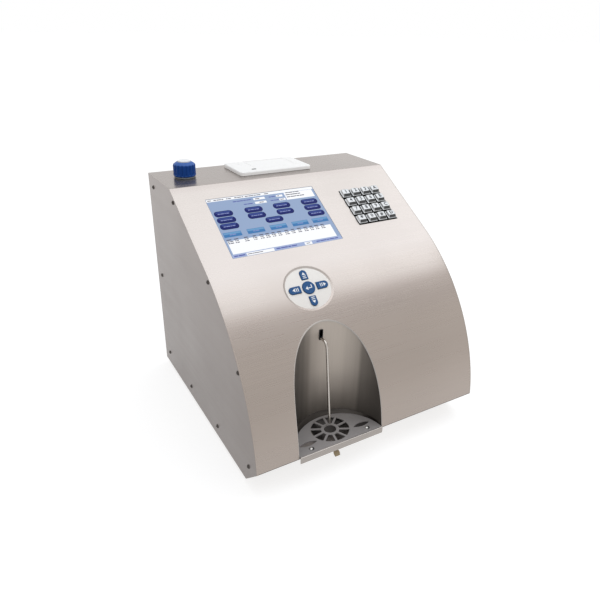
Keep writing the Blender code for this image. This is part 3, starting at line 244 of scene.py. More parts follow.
def blend(tree, factor, first, second, way="MIX"):
    """Two colours mixed, each one a socket or three numbers."""
    inputs = {"Factor": factor}
    for key, colour in (("A", first), ("B", second)):
        inputs[key] = (*colour, 1) if isinstance(colour, tuple) else colour
    return node(tree, "Mix", inputs, data_type="RGBA", blend_type=way).outputs["Result"]


def relief(tree, height, strength, distance):
    inputs = {"Height": height, "Strength": strength, "Distance": distance}
    return node(tree, "Bump", inputs).outputs["Normal"]


def around(colour, share):
    """A colour made a little darker, and a little lighter."""
    return (tuple(min(1.0, c * factor) for c in colour) for factor in (1 - share, 1 + share))


def triple(value):
    """Three numbers, or one number three times."""
    return value if isinstance(value, tuple) else (value, value, value)


def finish(name, colour, rough, metallic=0.0, scale=300, vary=0.06, rough_vary=0.05, bump=0.05,
           coat=0.0, specular=0.5):
    """A material whose colour and roughness vary with a stretched grain, with a fine relief."""
    tree, shader = material(name)
    fac = grain(tree, triple(scale))
    feed(tree, shader, {
        "Base Color": blend(tree, spread(tree, fac, 0, 1), *around(triple(colour), vary)),
        "Roughness": spread(tree, fac, rough - rough_vary, rough + rough_vary),
        "Metallic": metallic,
        "Specular IOR Level": specular,
        "Coat Weight": coat,
        "Coat Roughness": 0.08,
    })
    if bump:
        feed(tree, shader, {"Normal": relief(tree, fac, bump, 0.0002)})
    return tree


def brushed(name, colour, rough, along, fine=900, cloud=0.025, stretch=0.6, metallic=1.0):
    """Brushed steel: fine streaks along one axis, and broad soft clouds of wear over them."""
    tree, shader = material(name)
    streaks = grain(tree, [fine / 60 if axis == along else fine for axis in "XYZ"], 3.0)
    bands = grain(tree, [fine / 300 if axis == along else fine / 7 for axis in "XYZ"], 2.0)
    wear = grain(tree, triple(9), 3.0)
    both = calculate(tree, "MULTIPLY_ADD", streaks, 0.5, calculate(tree, "MULTIPLY", bands, 0.5))
    broad = spread(tree, wear, rough - 0.03, rough + 0.03)
    tangent = node(tree, "Tangent", direction_type="RADIAL", axis=along)
    feed(tree, shader, {
        "Base Color": blend(tree, spread(tree, both, 0, 1, 0.35, 0.65), *around(colour, cloud)),
        "Roughness": calculate(tree, "ADD", broad, spread(tree, both, -0.04, 0.04)),
        "Normal": relief(tree, streaks, 0.03, 0.00002),
        "Metallic": metallic,
        "Anisotropic": stretch,
        "Tangent": tangent.outputs["Tangent"],
    })
    return tree


def falloff(tree, axis, stops):
    """A tint that changes along one axis of the object, from (place in millimetres, tint) stops."""
    place = node(tree, "TexCoord").outputs["Object"]
    parts = node(tree, "SeparateXYZ", {0: place})
    low, high = stops[0][0], stops[-1][0]
    share = spread(tree, parts.outputs[axis], 0, 1, low * MM, high * MM)
    ramp = node(tree, "ValToRGB", {"Fac": share})
    ramp.color_ramp.interpolation = "EASE"
    elements = ramp.color_ramp.elements
    while len(elements) < len(stops):
        elements.new(0.5)
    for element, (spot, tint) in zip(elements, stops):
        element.position = (spot - low) / (high - low)
        element.color = (*triple(tint), 1)
    return ramp.outputs["Color"]


def reach_along(tree, kind, direction):
    """How far the surface's place or normal lies along a direction of the object."""
    place = node(tree, "TexCoord").outputs[kind]
    dot = node(tree, "VectorMath", {0: place, 1: direction}, operation="DOT_PRODUCT")
    return dot.outputs["Value"]


def facing(tree, direction, start, end, away, toward):
    """A factor that goes from one value to another where the surface faces a direction."""
    return spread(tree, reach_along(tree, "Normal", direction), away, toward, start, end)


def painted(tree):
    """What feeds the shader's colour."""
    return tree.nodes["Principled BSDF"].inputs["Base Color"].links[0].from_socket


def paint(tree, colour):
    feed(tree, tree.nodes["Principled BSDF"], {"Base Color": colour})


def darken(tree, *tones):
    """Multiplies the shader's colour by tones."""
    for tone in tones:
        paint(tree, blend(tree, 1.0, painted(tree), tone, "MULTIPLY"))


def front_steel():
    """The cover: brushed across, with painted shade that stands in for its reflections: darker and a little
    yellower low down, and lighter toward the right.
    """
    tree = brushed("front_steel", STEEL, 0.28, "X", cloud=0.015)
    # painted shade across the front, lighter toward the right
    across = [(-158, 0.985), (60, 1.0), (150, 1.05)]
    darken(tree, falloff(tree, "Z", FRONT_PAINTED_SHADE), falloff(tree, "X", across))


def side_steel():
    """The side panels: brushed back to front on their faces, with painted shade that darkens them toward
    the bottom, and brighter on their cut edges, which take the front's steel and its painted shade.
    """
    tree = brushed("side_steel", (0.298, 0.262, 0.246), 0.34, "Y", 700, 0.03)
    darken(tree, falloff(tree, "Z", SIDE_PAINTED_SHADE))
    sideways = calculate(tree, "ABSOLUTE", reach_along(tree, "Normal", (1, 0, 0)))
    edge = blend(tree, 1.0, STEEL, falloff(tree, "Z", FRONT_PAINTED_SHADE), "MULTIPLY")
    paint(tree, blend(tree, spread(tree, sideways, 0, 1, 0.4, 0.8), edge, painted(tree)))


def liner_steel():
    """The niche's wall: dull brushed steel, with painted shade that darkens it toward its sides and its
    foot.
    """
    tree = brushed("liner_steel", (0.48, 0.425, 0.375), 0.5, "Z", 900, 0.05, 0.3, 0.7)
    across = [(-108, 0.22), (-86, 0.28), (-76, 0.40), (-67, 0.62), (-58, 0.95), (-48, 1.0), (-25, 0.98),
              (-10, 0.84), (-5, 0.76), (-1, 0.44), (12, 0.32)]
    upward = [(38, 0.60), (80, 0.84), (112, 0.98), (150, 1.0)]
    darken(tree, falloff(tree, "X", across), falloff(tree, "Z", upward))


def arch_steel():
    """The rolled edge of the niche, with a painted highlight that makes it brightest on its left."""
    tree = brushed("arch_steel", (0.52, 0.485, 0.455), 0.3, "X")
    darken(tree, falloff(tree, "X", [(-108, 1.0), (-75, 0.94), (-40, 0.80), (-15, 0.70), (12, 0.68)]))


def sump_steel():
    """The tray under the platform: painted light in patches under the windows above it, and painted shade
    round them.
    """
    tree = finish("sump_tray_steel", (0.25, 0.22, 0.205), 0.5, 0.5, 300, 0.12, 0.06)
    across = [(-108, 1.0), (-84, 0.9), (-72, 0.22), (-62, 0.4), (-50, 1.0), (-38, 0.8), (-26, 0.25),
              (12, 0.15)]
    back = [(Y_FRONT, 1.0), (Y_FRONT + 22, 0.95), (Y_FRONT + 34, 0.4), (Y_FRONT + 60, 0.3)]
    darken(tree, falloff(tree, "X", across), falloff(tree, "Y", back))


def key_metal():
    """Silvery key caps with painted shade and light: dark low down, on the walls toward the user and on
    their right walls, and bright on their left.
    """
    tree = finish("key_metal", (0.50, 0.505, 0.51), 0.32, 0.6, (1400, 90, 90), 0.04, 0.05, 0.06)
    place = front_frame(KEYPAD_AT)
    upward = place.col[2].to_3d()
    ground = place.translation.dot(upward)
    height = reach_along(tree, "Object", upward)
    darken(tree,
           facing(tree, (0, -cos(SLOPE), -sin(SLOPE)), 0.45, 0.65, 1.0, 0.12),
           facing(tree, (1, 0, 0), 0.3, 0.6, 1.0, 0.25),
           facing(tree, (-1, 0, 0), 0.4, 0.8, 1.0, 1.4),
           spread(tree, height, 0.10, 1.0, (ground + 0.8) * MM, (ground + 1.2) * MM))


def cap_plastic():
    """The cap's blue plastic, with a painted sheen that makes the faces that look up paler."""
    tree = finish("cap_plastic", (0.001, 0.042, 0.22), 0.40, 0.0, 260, 0.10, 0.06, 0.08, specular=0.16)
    upward = facing(tree, (0, 0, 1), 0.3, 0.7, 0.0, 0.7)
    paint(tree, blend(tree, upward, painted(tree), (0.07, 0.16, 0.45)))


def white_plastic():
    """The printer's warm white, with painted shade that makes its top a little darker than its sides."""
    tree = finish("white_plastic", (0.97, 0.96, 0.945), 0.42, 0.0, 900, 0.015, 0.05, 0.06)
    darken(tree, facing(tree, (0, 0, 1), 0.4, 0.9, 1.0, 0.88))


def make_steels():
    front_steel()
    side_steel()
    liner_steel()
    arch_steel()
    sump_steel()
    brushed("lip_steel", EDGE_STEEL, 0.28, "X")
    brushed("platform_steel", (0.30, 0.281, 0.276), 0.62, "X", 900, 0.03, 0.2, 0.25)
    # painted shadow: near-black steel for the wall's foot behind the platform
    brushed("foot_shadow_steel", (0.060, 0.053, 0.048), 0.5, "X", 900, 0.06)
    # painted shadow: near-black steel for the cover's lower edge
    brushed("hem_shadow_steel", (0.11, 0.10, 0.095), 0.40, "X", 900, 0.06)
    finish("polished_steel", (0.72, 0.70, 0.68), 0.18, 1.0, 500, 0.03, 0.04, 0.03)
    finish("screw_steel", (0.66, 0.65, 0.63), 0.25, 1.0, 900)
    # painted shade: the side screws' heads are made dark
    finish("side_screw_shade_steel", (0.07, 0.06, 0.055), 0.3, 0.9, 900, 0.1)
    finish("tube_steel", (0.46, 0.425, 0.39), 0.24, 1.0, (500, 500, 60), 0.05, 0.04, 0.04)
    finish("brass", (0.27, 0.215, 0.14), 0.34, 1.0, (200, 200, 1400), 0.10, 0.06, 0.08)
    finish("cast_alloy", 0.50, 0.42, 1.0, 240, 0.07, 0.07, 0.15)


def make_plastics():
    key_metal()
    cap_plastic()
    white_plastic()
    finish("key_ink", (0.022, 0.022, 0.025), 0.5)
    finish("pad_film", (0.82, 0.785, 0.745), 0.42, 0.0, 700, 0.015, 0.04)
    finish("blue_key_film", (0.006, 0.072, 0.215), 0.36, 0.0, 900, 0.08, 0.05, 0.06, specular=0.25)
    # painted shade: the collar's plastic made dark grey, as it sits in the cap's shade
    finish("collar_shade_plastic", (0.16, 0.18, 0.20), 0.4, 0.0, 300, 0.05, 0.05, 0.04)
    finish("milky_plastic", (0.78, 0.79, 0.80), 0.35, 0.0, 200, 0.03, 0.05, 0.04)
    finish("mark_white", (0.86, 0.87, 0.88), 0.5, 0.0, 900, 0.02, 0.04, 0.0)
    finish("paper", (0.88, 0.88, 0.86), 0.85, 0.0, 600, 0.03, 0.05, 0.15)
    finish("black_plastic", (0.022, 0.022, 0.024), 0.45, 0.0, 900, 0.15, 0.08, 0.15)
    finish("rubber", 0.02, 0.75, 0.0, 500, 0.25, 0.08, 0.25)
    finish("grey_plastic", (0.30, 0.30, 0.31), 0.5, 0.0, 700, 0.06, 0.06, 0.1)
    finish("circuit_board", (0.02, 0.16, 0.07), 0.42, 0.0, 160, 0.30, 0.06, 0.08)


def glow(name, colour, share=0.78):
    """A part of the lit picture behind the screen's glass: dim in itself, and shining."""
    dim = tuple(c * 0.22 for c in colour)
    tree = finish(name, dim, 0.3, 0.0, 1500, 0.02, 0.02, 0.0, coat=0.05, specular=0.08)
    feed(tree, tree.nodes["Principled BSDF"], {"Emission Color": (*colour, 1), "Emission Strength": share})


# Meshes


def add_object(name, data):
    obj = bpy.data.objects.new(name, data)
    scene.collection.objects.link(obj)
    return obj


def mesh_object(name, bm, place=Matrix(), smooth=35):
    """An object from a mesh in millimetres."""
    bm.transform(Matrix.Scale(MM, 4) @ place)
    bmesh.ops.recalc_face_normals(bm, faces=bm.faces)
    mesh = bpy.data.meshes.new(name)
    bm.to_mesh(mesh)
    bm.free()
    obj = add_object(name, mesh)
    shade(obj, smooth)
    return obj


def piece(name, bm, look, body="case", place=Matrix(), smooth=35, cad=None):
    """A piece of the analyzer, which rides on a body and may stand for a CAD node."""
    obj = mesh_object(name, bm, place, smooth)
    obj.data.materials.append(LOOKS[look])
    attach(obj, body)
    if cad:
        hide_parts(cad)
    return obj


def cutter(bm, place=Matrix()):
    """A tool for combine(), which removes it."""
    return mesh_object("cutter", bm, place)


def shade(obj, degrees=35):
    obj.data.shade_smooth()
    obj.data.set_sharp_from_angle(angle=radians(degrees))


def evaluated(obj):
    """The mesh that an object's modifiers or its letters make."""
    graph = bpy.context.evaluated_depsgraph_get()
    graph.update()
    return bpy.data.meshes.new_from_object(obj.evaluated_get(graph))


def settle(obj):
    """Turns the object's modifiers into mesh."""
    mesh = evaluated(obj)
    obj.modifiers.clear()
    obj.data = mesh
    return obj


def weigh_normals(obj):
    """Flat faces stay flat next to their rounded edges."""
    step = obj.modifiers.new("flat_faces", "WEIGHTED_NORMAL")
    step.keep_sharp = True
    step.weight = 80
    return settle(obj)


def combine(target, operation, *tools):
    for tool in tools:
        step = target.modifiers.new(operation.lower(), "BOOLEAN")
        step.operation = operation
        step.object = tool
    settle(target)
    for tool in tools:
        bpy.data.objects.remove(tool, do_unlink=True)
    shade(target)


def box_mesh(size):
    bm = bmesh.new()
    bmesh.ops.create_cube(bm, size=1, matrix=Matrix.Diagonal((*size, 1)))
    return bm


def rod_mesh(radius, length, segments=64, place=Matrix()):
    bm = bmesh.new()
    bmesh.ops.create_cone(bm, cap_ends=True, segments=segments, radius1=radius, radius2=radius,
                          depth=length, matrix=place)
    return bm


def turned_mesh(profile, segments=64, closed=False):
    """A turned shape from a profile of (radius, height) points."""
    bm = bmesh.new()
    rings = [[bm.verts.new((x, y, z)) for x, y in oval(r, r, segments)] for r, z in profile]
    bridge(bm, rings + rings[:1] if closed else rings)
    bmesh.ops.remove_doubles(bm, verts=bm.verts, dist=1e-4)
    return bm


def bridge(bm, rows, closed=True):
    """Joins each row of points to the next one with faces."""
    count = len(rows[0])
    for first, second in zip(rows, rows[1:]):
        for k in range(count if closed else count - 1):
            j = (k + 1) % count
            bm.faces.new((first[k], first[j], second[j], second[k]))


def plates_mesh(outlines, low, high):
    """Flat outlines in X and Y, from one height to another."""
    bm = bmesh.new()
    for outline in outlines:
        bottom, top = ([bm.verts.new((x, y, z)) for x, y in outline] for z in (low, high))
        bm.faces.new(list(reversed(bottom)))
        bm.faces.new(top)
        bridge(bm, [bottom, top])
    return bm


def plate_mesh(outline, low, high):
    return plates_mesh([outline], low, high)


def merged(meshes):
    """Several meshes in one."""
    whole = bmesh.new()
    for bm in meshes:
        part = bpy.data.meshes.new("part")
        bm.to_mesh(part)
        bm.free()
        whole.from_mesh(part)
        bpy.data.meshes.remove(part)
    return whole


def in_millimetres(mesh, place=Matrix()):
    """A copy of a finished mesh, put at a place in millimetres."""
    bm = bmesh.new()
    bm.from_mesh(mesh)
    bm.transform(place @ Matrix.Scale(1 / MM, 4))
    return bm


def round_edges(bm, width, segments=3, degrees=40, keep=None):
    """Rounds each edge sharper than an angle, and for which keep(edge) holds."""
    bm.normal_update()
    limit = radians(degrees)
    edges = [e for e in bm.edges if len(e.link_faces) == 2 and e.calc_face_angle(0) > limit]
    if keep:
        edges = [e for e in edges if keep(e)]
    bmesh.ops.bevel(bm, geom=edges, offset=width, offset_type="OFFSET", segments=segments, profile=0.5,
                    affect="EDGES", clamp_overlap=True)
    return bm


def at(x, y, z):
    return Matrix.Translation((x, y, z))


def turn(degrees, axis):
    return Matrix.Rotation(radians(degrees), 4, axis)


def oval(across, along, steps=128):
    angles = [2 * pi * i / steps for i in range(steps)]
    return [(across * cos(a), along * sin(a)) for a in angles]


def arc(centre, radius, start, end, steps):
    """Points on a circle, from one angle to another."""
    angles = [start + (end - start) * i / steps for i in range(steps + 1)]
    return [(centre[0] + radius * cos(a), centre[1] + radius * sin(a)) for a in angles]


def rounded_rectangle(width, depth, radius, steps=8):
    points = []
    for quarter, (sx, sy) in enumerate([(1, 1), (-1, 1), (-1, -1), (1, -1)]):
        centre = (sx * (width / 2 - radius), sy * (depth / 2 - radius))
        start = quarter * pi / 2
        points += arc(centre, radius, start, start + pi / 2, steps)
    return points


def rectangle(x, y, width, height, round_by=0.0):
    half, rise = width / 2, height / 2
    points = [(half, rise), (-half, rise), (-half, -rise), (half, -rise)]
    if round_by:
        points = rounded_rectangle(width, height, round_by, 6)
    return [(x + px, y + py) for px, py in points]


def refine(name, cad, look, slot="case_steel", soften=0.3, body="case", segments=2):
    """Copies a CAD node with its corners welded and its edges softened, and stands for it."""
    bm = in_millimetres(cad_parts[cad].data)
    bmesh.ops.remove_doubles(bm, verts=bm.verts, dist=1e-3)
    bmesh.ops.dissolve_limit(bm, angle_limit=radians(0.5), verts=bm.verts, edges=bm.edges)
    if soften:
        round_edges(bm, soften, segments)
    return weigh_normals(piece(name, bm, look, body, cad=cad))


# The case's surface


def skin_line(inset=0.0, lift=0.0):
    """Points (y, z) from the top's back edge to the front foot, on a surface inside the outer one."""
    radius = FRONT_RADIUS - inset
    foot = Z_FOOT + lift + inset * (sqrt(2) - 1)
    last = pi - asin((foot - ARC_CENTRE.y) / radius)
    bend = arc(BEND_CENTRE, BEND - inset, pi / 2, TURN, 8)
    return [(Y_BACK, Z_TOP - inset)] + bend + arc(ARC_CENTRE, radius, TURN, last, 120)


def surface_y(z, inset):
    return ARC_CENTRE.x - sqrt((FRONT_RADIUS - inset) ** 2 - (z - ARC_CENTRE.y) ** 2)


def surface_z(y, inset):
    return ARC_CENTRE.y + sqrt((FRONT_RADIUS - inset) ** 2 - (y - ARC_CENTRE.x) ** 2)


def out_of(place):
    """The outward normal of the case's top, slope or curved front near a place."""
    point = place.yz
    down = (Vector((Y_BEND, Z_TOP)) - point).dot((cos(SLOPE), sin(SLOPE)))
    if down > SLOPE_LENGTH:
        out = point - ARC_CENTRE
    elif down > BEND_REACH:
        out = SLOPE_OUT
    elif place.y > BEND_CENTRE.x:
        out = Vector((0, 1))
    else:
        out = point - BEND_CENTRE
    return Vector((0, *out.normalized()))


def follow(obj, surface):
    """Gives faces that lie along a surface that surface's own normals."""
    mesh = obj.data
    normals = []
    for face in mesh.polygons:
        for corner in face.vertices:
            out = surface(mesh.vertices[corner].co / MM)
            along = face.normal.dot(out)
            normals.append(out * copysign(1, along) if abs(along) > 0.98 else face.normal.copy())
    mesh.normals_split_custom_set(normals)


def thicken(obj, thickness):
    """Turns an open strip on the case outward, and gives it a thickness inward."""
    mesh = obj.data
    face = mesh.polygons[len(mesh.polygons) // 4]
    if face.normal.dot(out_of(face.center / MM)) < 0:
        mesh.flip_normals()
    wall = obj.modifiers.new("wall", "SOLIDIFY")
    wall.thickness = thickness * MM
    wall.offset = -1
    settle(obj)


def front_frame(spot):
    """A frame on the front surface: X right, Y up the slope, Z out. spot is (x, distance down)."""
    x, down = spot
    if down > SLOPE_LENGTH:
        angle = SLOPE + (down - SLOPE_LENGTH) / FRONT_RADIUS
        return at(x, *ARC_CENTRE) @ Matrix.Rotation(angle, 4, "X") @ at(0, 0, FRONT_RADIUS)
    return at(x, Y_BEND, Z_TOP) @ Matrix.Rotation(SLOPE, 4, "X") @ at(0, -down, 0)


def upright(outline, width, x=0.0):
    """A plate whose outline lies in Y and Z, with its middle at an X."""
    bm = plate_mesh(outline, -width / 2, width / 2)
    bm.transform(Matrix(((0, 0, 1, x), (1, 0, 0, 0), (0, 1, 0, 0), (0, 0, 0, 1))))
    return bm


# Case


def make_front_cover():
    outline = skin_line(lift=HEM) + skin_line(SHEET, lift=HEM)[::-1]
    cover = piece("front_cover", upright(outline, 2 * INNER_HALF), "front_steel", cad="front_top_cover")
    width, height, across, along = KEYPAD_OPENING
    keys = rectangle(across, along, width, height, 0.8)
    niche_place = at(NICHE_X, NICHE_Y, 158) @ Matrix.Scale(ARCH_SQUEEZE, 4, (0, 1, 0))
    combine(cover, "DIFFERENCE",
            cutter(plate_mesh(rounded_rectangle(*SCREEN, 1.2), -6, 6), front_frame(SCREEN_AT)),
            cutter(plate_mesh(keys, -6, 6), front_frame(KEYPAD_AT)),
            cutter(plate_mesh(oval(*PAD_RIM), -8, 8), front_frame(PAD_AT)),
            cutter(rod_mesh(NICHE_RADIUS + ARCH_ROUND, 300, 192), niche_place),
            cutter(box_mesh((TUB[0] + 2, TUB[1] + 2, 10)), at(PAPER_X, PRINTER_Y, Z_TOP)),
            cutter(rod_mesh(NECK_HOLE, 10), at(*BOTTLE_AT, Z_TOP)))
    cover.data.shade_smooth()
    follow(cover, out_of)


def make_hem():
    """The cover's cut lower edge in near-black steel: a painted shadow line on both sides of the niche."""
    reach = NICHE_RADIUS + ARCH_ROUND
    section = [(0.1, HEM), (0.1, 0.1), (0.7, 0.25), (1.2, 0.55), (1.2, HEM)]
    outline = [(Y_FRONT + y, Z_FOOT + z) for y, z in section]
    strips = [upright(outline, right - left, (left + right) / 2)
              for left, right in ((-INNER_HALF, NICHE_X - reach), (NICHE_X + reach, INNER_HALF))]
    piece("cover_hem", merged(strips), "hem_shadow_steel")


def make_arch():
    """The rounded edge where the cover turns into the niche."""
    steps_round, steps_along = 8, 170
    bm = bmesh.new()
    rows = []
    for i in range(steps_round + 1):
        lean = pi / 2 * i / steps_round
        radius = NICHE_RADIUS - 0.05 + ARCH_ROUND * (1 - sin(lean))
        inset = ARCH_ROUND * (1 - cos(lean))
        start = asin((surface_y(Z_FOOT + inset * 0.4, inset) - NICHE_Y) / radius / ARCH_SQUEEZE)
        row = []
        for j in range(steps_along + 1):
            share = (1 - cos(pi * j / steps_along)) / 2
            angle = start + (pi - 2 * start) * share
            y = NICHE_Y + radius * sin(angle) * ARCH_SQUEEZE
            row.append(bm.verts.new((NICHE_X + radius * cos(angle), y, surface_z(y, inset))))
        rows.append(row)
    bridge(bm, rows, closed=False)
    thicken(piece("niche_edge", bm, "arch_steel", smooth=80), 0.8)


def make_side_panels():
    outline = skin_line() + [(Y_FRONT + CHAMFER, Z_BASE), (Y_BACK, Z_BASE)]
    for side, name in [(-1, "left"), (1, "right")]:
        bm = upright(outline, SIDE_SHEET, side * (WIDTH - SIDE_SHEET) / 2)
        round_edges(bm, 0.4, 2, 60, lambda e: min(abs(v.co.x) for v in e.verts) > WIDTH / 2 - 0.1)
        weigh_normals(piece(name + "_side", bm, "side_steel", cad=name + "_side_panel"))


def screw_mesh(radius=2.7, height=1.5):
    """A pan head with a cross recess, standing on local Z = 0."""
    profile = [(0, height), (radius * 0.45, height * 0.96), (radius * 0.8, height * 0.7),
               (radius * 0.96, height * 0.35), (radius, 0), (radius, -0.4), (0, -0.4)]
    head = mesh_object("screw_head", turned_mesh(profile, 24))
    long, half = radius * 0.62, radius * 0.16
    quarter = [(half, half), (half, long), (-half, long)]
    recess = []
    for _ in range(4):
        recess += quarter
        quarter = [(-y, x) for x, y in quarter]
    combine(head, "DIFFERENCE", cutter(plate_mesh(recess, height * 0.45, height * 2)))
    mesh = head.data
    bpy.data.objects.remove(head, do_unlink=True)
    return mesh


def place_screws(name, mesh, places, look):
    heads = merged([in_millimetres(mesh, place) for place in places])
    piece(name, heads, look, smooth=40)


def make_screws():
    mesh = screw_mesh()
    for side, name in [(-1, "left"), (1, "right")]:
        places = [at(side * WIDTH / 2, y, z) @ turn(side * 90, "Y") @ turn(37 * i, "Z")
                  for i, (y, z) in enumerate(SIDE_SCREWS)]
        # the side screws' dark steel is painted shade
        place_screws(name + "_side_screws", mesh, places, "side_screw_shade_steel")
    places = [at(x, Y_BACK, z) @ turn(-90, "X") @ turn(53 * i, "Z") for i, (x, z) in enumerate(REAR_SCREWS)]
    place_screws("rear_screws", mesh, places, "screw_steel")
    top = PLATFORM_Z + PLATFORM_SHEET
    off, back = PLATFORM_SCREW
    spots = [(side, NICHE_X + side * off) for side in (-1, 1)]
    places = [at(x, Y_FRONT + back, top + 0.5) @ turn(20 * side, "Z") for side, x in spots]
    place_screws("platform_screws", screw_mesh(2.2, 1.4), places, "screw_steel")
    # painted shadow: a dark washer under each platform screw, set off to its right, shows as a shadow
    # beside the head
    shadow_washers = [rod_mesh(2.7, 0.5, 40, at(x + 1.2, Y_FRONT + back - 0.2, top + 0.25)) for side, x in spots]
    piece("platform_shadow_washers", merged(shadow_washers), "rubber")


# Niche


def lens(width, height):
    """An outline of two arcs that meet in points."""
    radius = (width**2 / 4 + height**2 / 4) / height
    half = asin(width / 2 / radius)
    lower = radius - height / 2
    up = pi / 2
    top = arc((0, -lower), radius, up - half, up + half, 20)
    bottom = arc((0, lower), radius, -up - half, -up + half, 20)
    return top[:-1] + bottom[:-1]


def ring_windows():
    """The platform's round hole and the windows about it, flattened front to back."""
    middle, hub, outer = RING_RADII
    step = 2 * pi / RING_WINDOWS
    outlines = [oval(middle, middle, 48)]
    for i in range(RING_WINDOWS):
        angle = RING_TURN + (i + 0.5) * step
        near, far = (step / 2 - SPOKE / 2 / radius for radius in (hub, outer))
        window = arc((0, 0), hub, angle + near, angle - near, 4)
        outlines.append(window + arc((0, 0), outer, angle - far, angle + far, 10))
    return [[(RING_X + x, RING_Y + y * RING_SQUEEZE) for x, y in outline] for outline in outlines]


def platform_curve(start, grow=0.0):
    """The platform's round edge from an angle on, flattened front to back, and widened by a length."""
    flat = PLATFORM_REACH / PLATFORM_RADIUS
    curve = arc((0, 0), PLATFORM_RADIUS + grow, start, pi - start, 96)
    return [(NICHE_X + x, PLATFORM_MIDDLE + y * flat) for x, y in curve]


def make_platform():
    start = asin((Y_FRONT - LIP_PROUD + 1.9 - PLATFORM_MIDDLE) / PLATFORM_REACH)
    sheet = plate_mesh(platform_curve(start), PLATFORM_Z, PLATFORM_Z + PLATFORM_SHEET)
    plate = piece("platform", sheet, "platform_steel", cad="cup_platform")
    width, height, off, back = LENS
    spots = [(NICHE_X + side * off, Y_FRONT + back) for side in (-1, 1)]
    slots = [[(cx + x, cy + y) for x, y in lens(width, height)] for cx, cy in spots]
    holes = plates_mesh(ring_windows() + slots, PLATFORM_Z - 4, PLATFORM_Z + 4)
    combine(plate, "DIFFERENCE", cutter(holes))
    channels = [rectangle(*spot, width + 3, height + 3, 1) for spot in spots]
    floors = plates_mesh(channels, PLATFORM_Z - 0.3, PLATFORM_Z - 0.02)
    piece("drain_channels", floors, "sump_tray_steel")


def make_lip():
    """The platform's front edge: folded down over a small radius, with its ends cut square."""
    front, top = Y_FRONT - LIP_PROUD, PLATFORM_Z + PLATFORM_SHEET
    back = front + 2.2
    fold = (front + LIP_FOLD, top - LIP_FOLD)
    outer = [(back, top)] + arc(fold, LIP_FOLD, pi / 2, pi, 6)
    outer += [(front, top - LIP_HEIGHT), (front + PLATFORM_SHEET, top - LIP_HEIGHT)]
    inner = arc(fold, LIP_FOLD - PLATFORM_SHEET, pi, pi / 2, 4)
    inner += [(back, top - PLATFORM_SHEET)]
    bm = upright(outer + inner, 2 * PLATFORM_RADIUS + 0.6, NICHE_X)
    piece("platform_lip", round_edges(bm, 0.2, 1, 60), "lip_steel", smooth=30)


def make_seal():
    """The dark seal at the platform's round edge, and the wall's turned-in foot behind it, whose near-black
    steel is painted shadow along the platform's back edge.
    """
    low, start = PLATFORM_Z - 0.6, 0.12
    inner, middle = platform_curve(start, 0.1), platform_curve(start, 0.9)
    outer = arc((NICHE_X, NICHE_Y), NICHE_RADIUS - 0.3, start, pi - start, 96)
    ring = plate_mesh(inner + middle[::-1], low, PLATFORM_Z + 0.5)
    piece("platform_seal", ring, "rubber")
    cove = bmesh.new()
    section = [(middle, PLATFORM_Z + 0.3), (outer, PLATFORM_Z + 3.5), (outer, low), (middle, low)]
    rows = [[cove.verts.new((x, y, z)) for x, y in line] for line, z in section]
    bridge(cove, rows + rows[:1], closed=False)
    cove.faces.new([row[0] for row in rows])
    cove.faces.new([row[-1] for row in reversed(rows)])
    piece("wall_foot", cove, "foot_shadow_steel")


def make_niche_wall():
    """The half-round wall behind the platform, shaded as the cylinder that it is."""
    wall = refine("niche_wall", "niche_liner", "liner_steel", soften=0)
    follow(wall, lambda place: Vector((place.x - NICHE_X, place.y - NICHE_Y, 0)).normalized())


def tube_line():
    """The tube's route, as points in the row frame."""
    top = TUBE_Z + TUBE_RISE
    lean = atan2(TUBE_CORNER_Y - TUBE_END[0], top - TUBE_END[1])
    turning = pi / 2 - lean
    back = TUBE_BEND * tan(turning / 2)
    centre = (TUBE_CORNER_Y + back, top - TUBE_BEND)
    line = [(TUBE_PIVOT_Y + 10, TUBE_Z)]
    line += arc(centre, TUBE_BEND, pi / 2, pi / 2 + turning, 16)
    return [Vector((TUBE_X, y, z)) for y, z in line + [TUBE_END]]


def pipe_mesh(route, outer, bore):
    """A pipe along a route in one plane of constant X, open at both ends."""
    bm = bmesh.new()
    skins = {outer: [], bore: []}
    side = Vector((1, 0, 0))
    for i, point in enumerate(route):
        ahead = route[min(i + 1, len(route) - 1)] - route[max(i - 1, 0)]
        up = ahead.normalized().cross(side)
        for radius, rings in skins.items():
            circle = oval(radius, radius, 24)
            rings.append([bm.verts.new(point + side * across + up * rise) for across, rise in circle])
    outside, inside = skins.values()
    for rows in (outside, inside, [outside[0], inside[0]], [outside[-1], inside[-1]]):
        bridge(bm, rows)
    return bm


def make_tube():
    """The intake tube, with the barrel and the shaft that it tips on."""
    parts = [pipe_mesh(tube_line(), TUBE_RADIUS, TUBE_BORE)]
    for (radius, length), segments, soften in ((TUBE_BARREL, 40, 0.4), (TUBE_SHAFT, 32, 0.3)):
        rod = round_edges(rod_mesh(radius, length, segments), soften)
        rod.transform(at(TUBE_X, TUBE_PIVOT_Y, TUBE_Z) @ turn(90, "Y"))
        parts.append(rod)
    piece("intake_pipe", merged(parts), "tube_steel", "intake_tube", smooth=50,
          cad="intake_tube")


def make_slot_edge():
    """A thin black liner in the slot that the tube comes through."""
    place = at(TUBE_X, NICHE_Y + NICHE_RADIUS, TUBE_Z - SLOT_LOW + SLOT[1] / 2) @ turn(90, "X")
    ring = plate_mesh(rounded_rectangle(SLOT[0] + 0.5, SLOT[1] + 0.5, 0.9, 6), -1.0, 1.1)
    edge = piece("slot_edge", ring, "black_plastic", place=place)
    combine(edge, "DIFFERENCE", cutter(plate_mesh(rounded_rectangle(*SLOT, 0.7, 6), -4, 4), place))


# Display


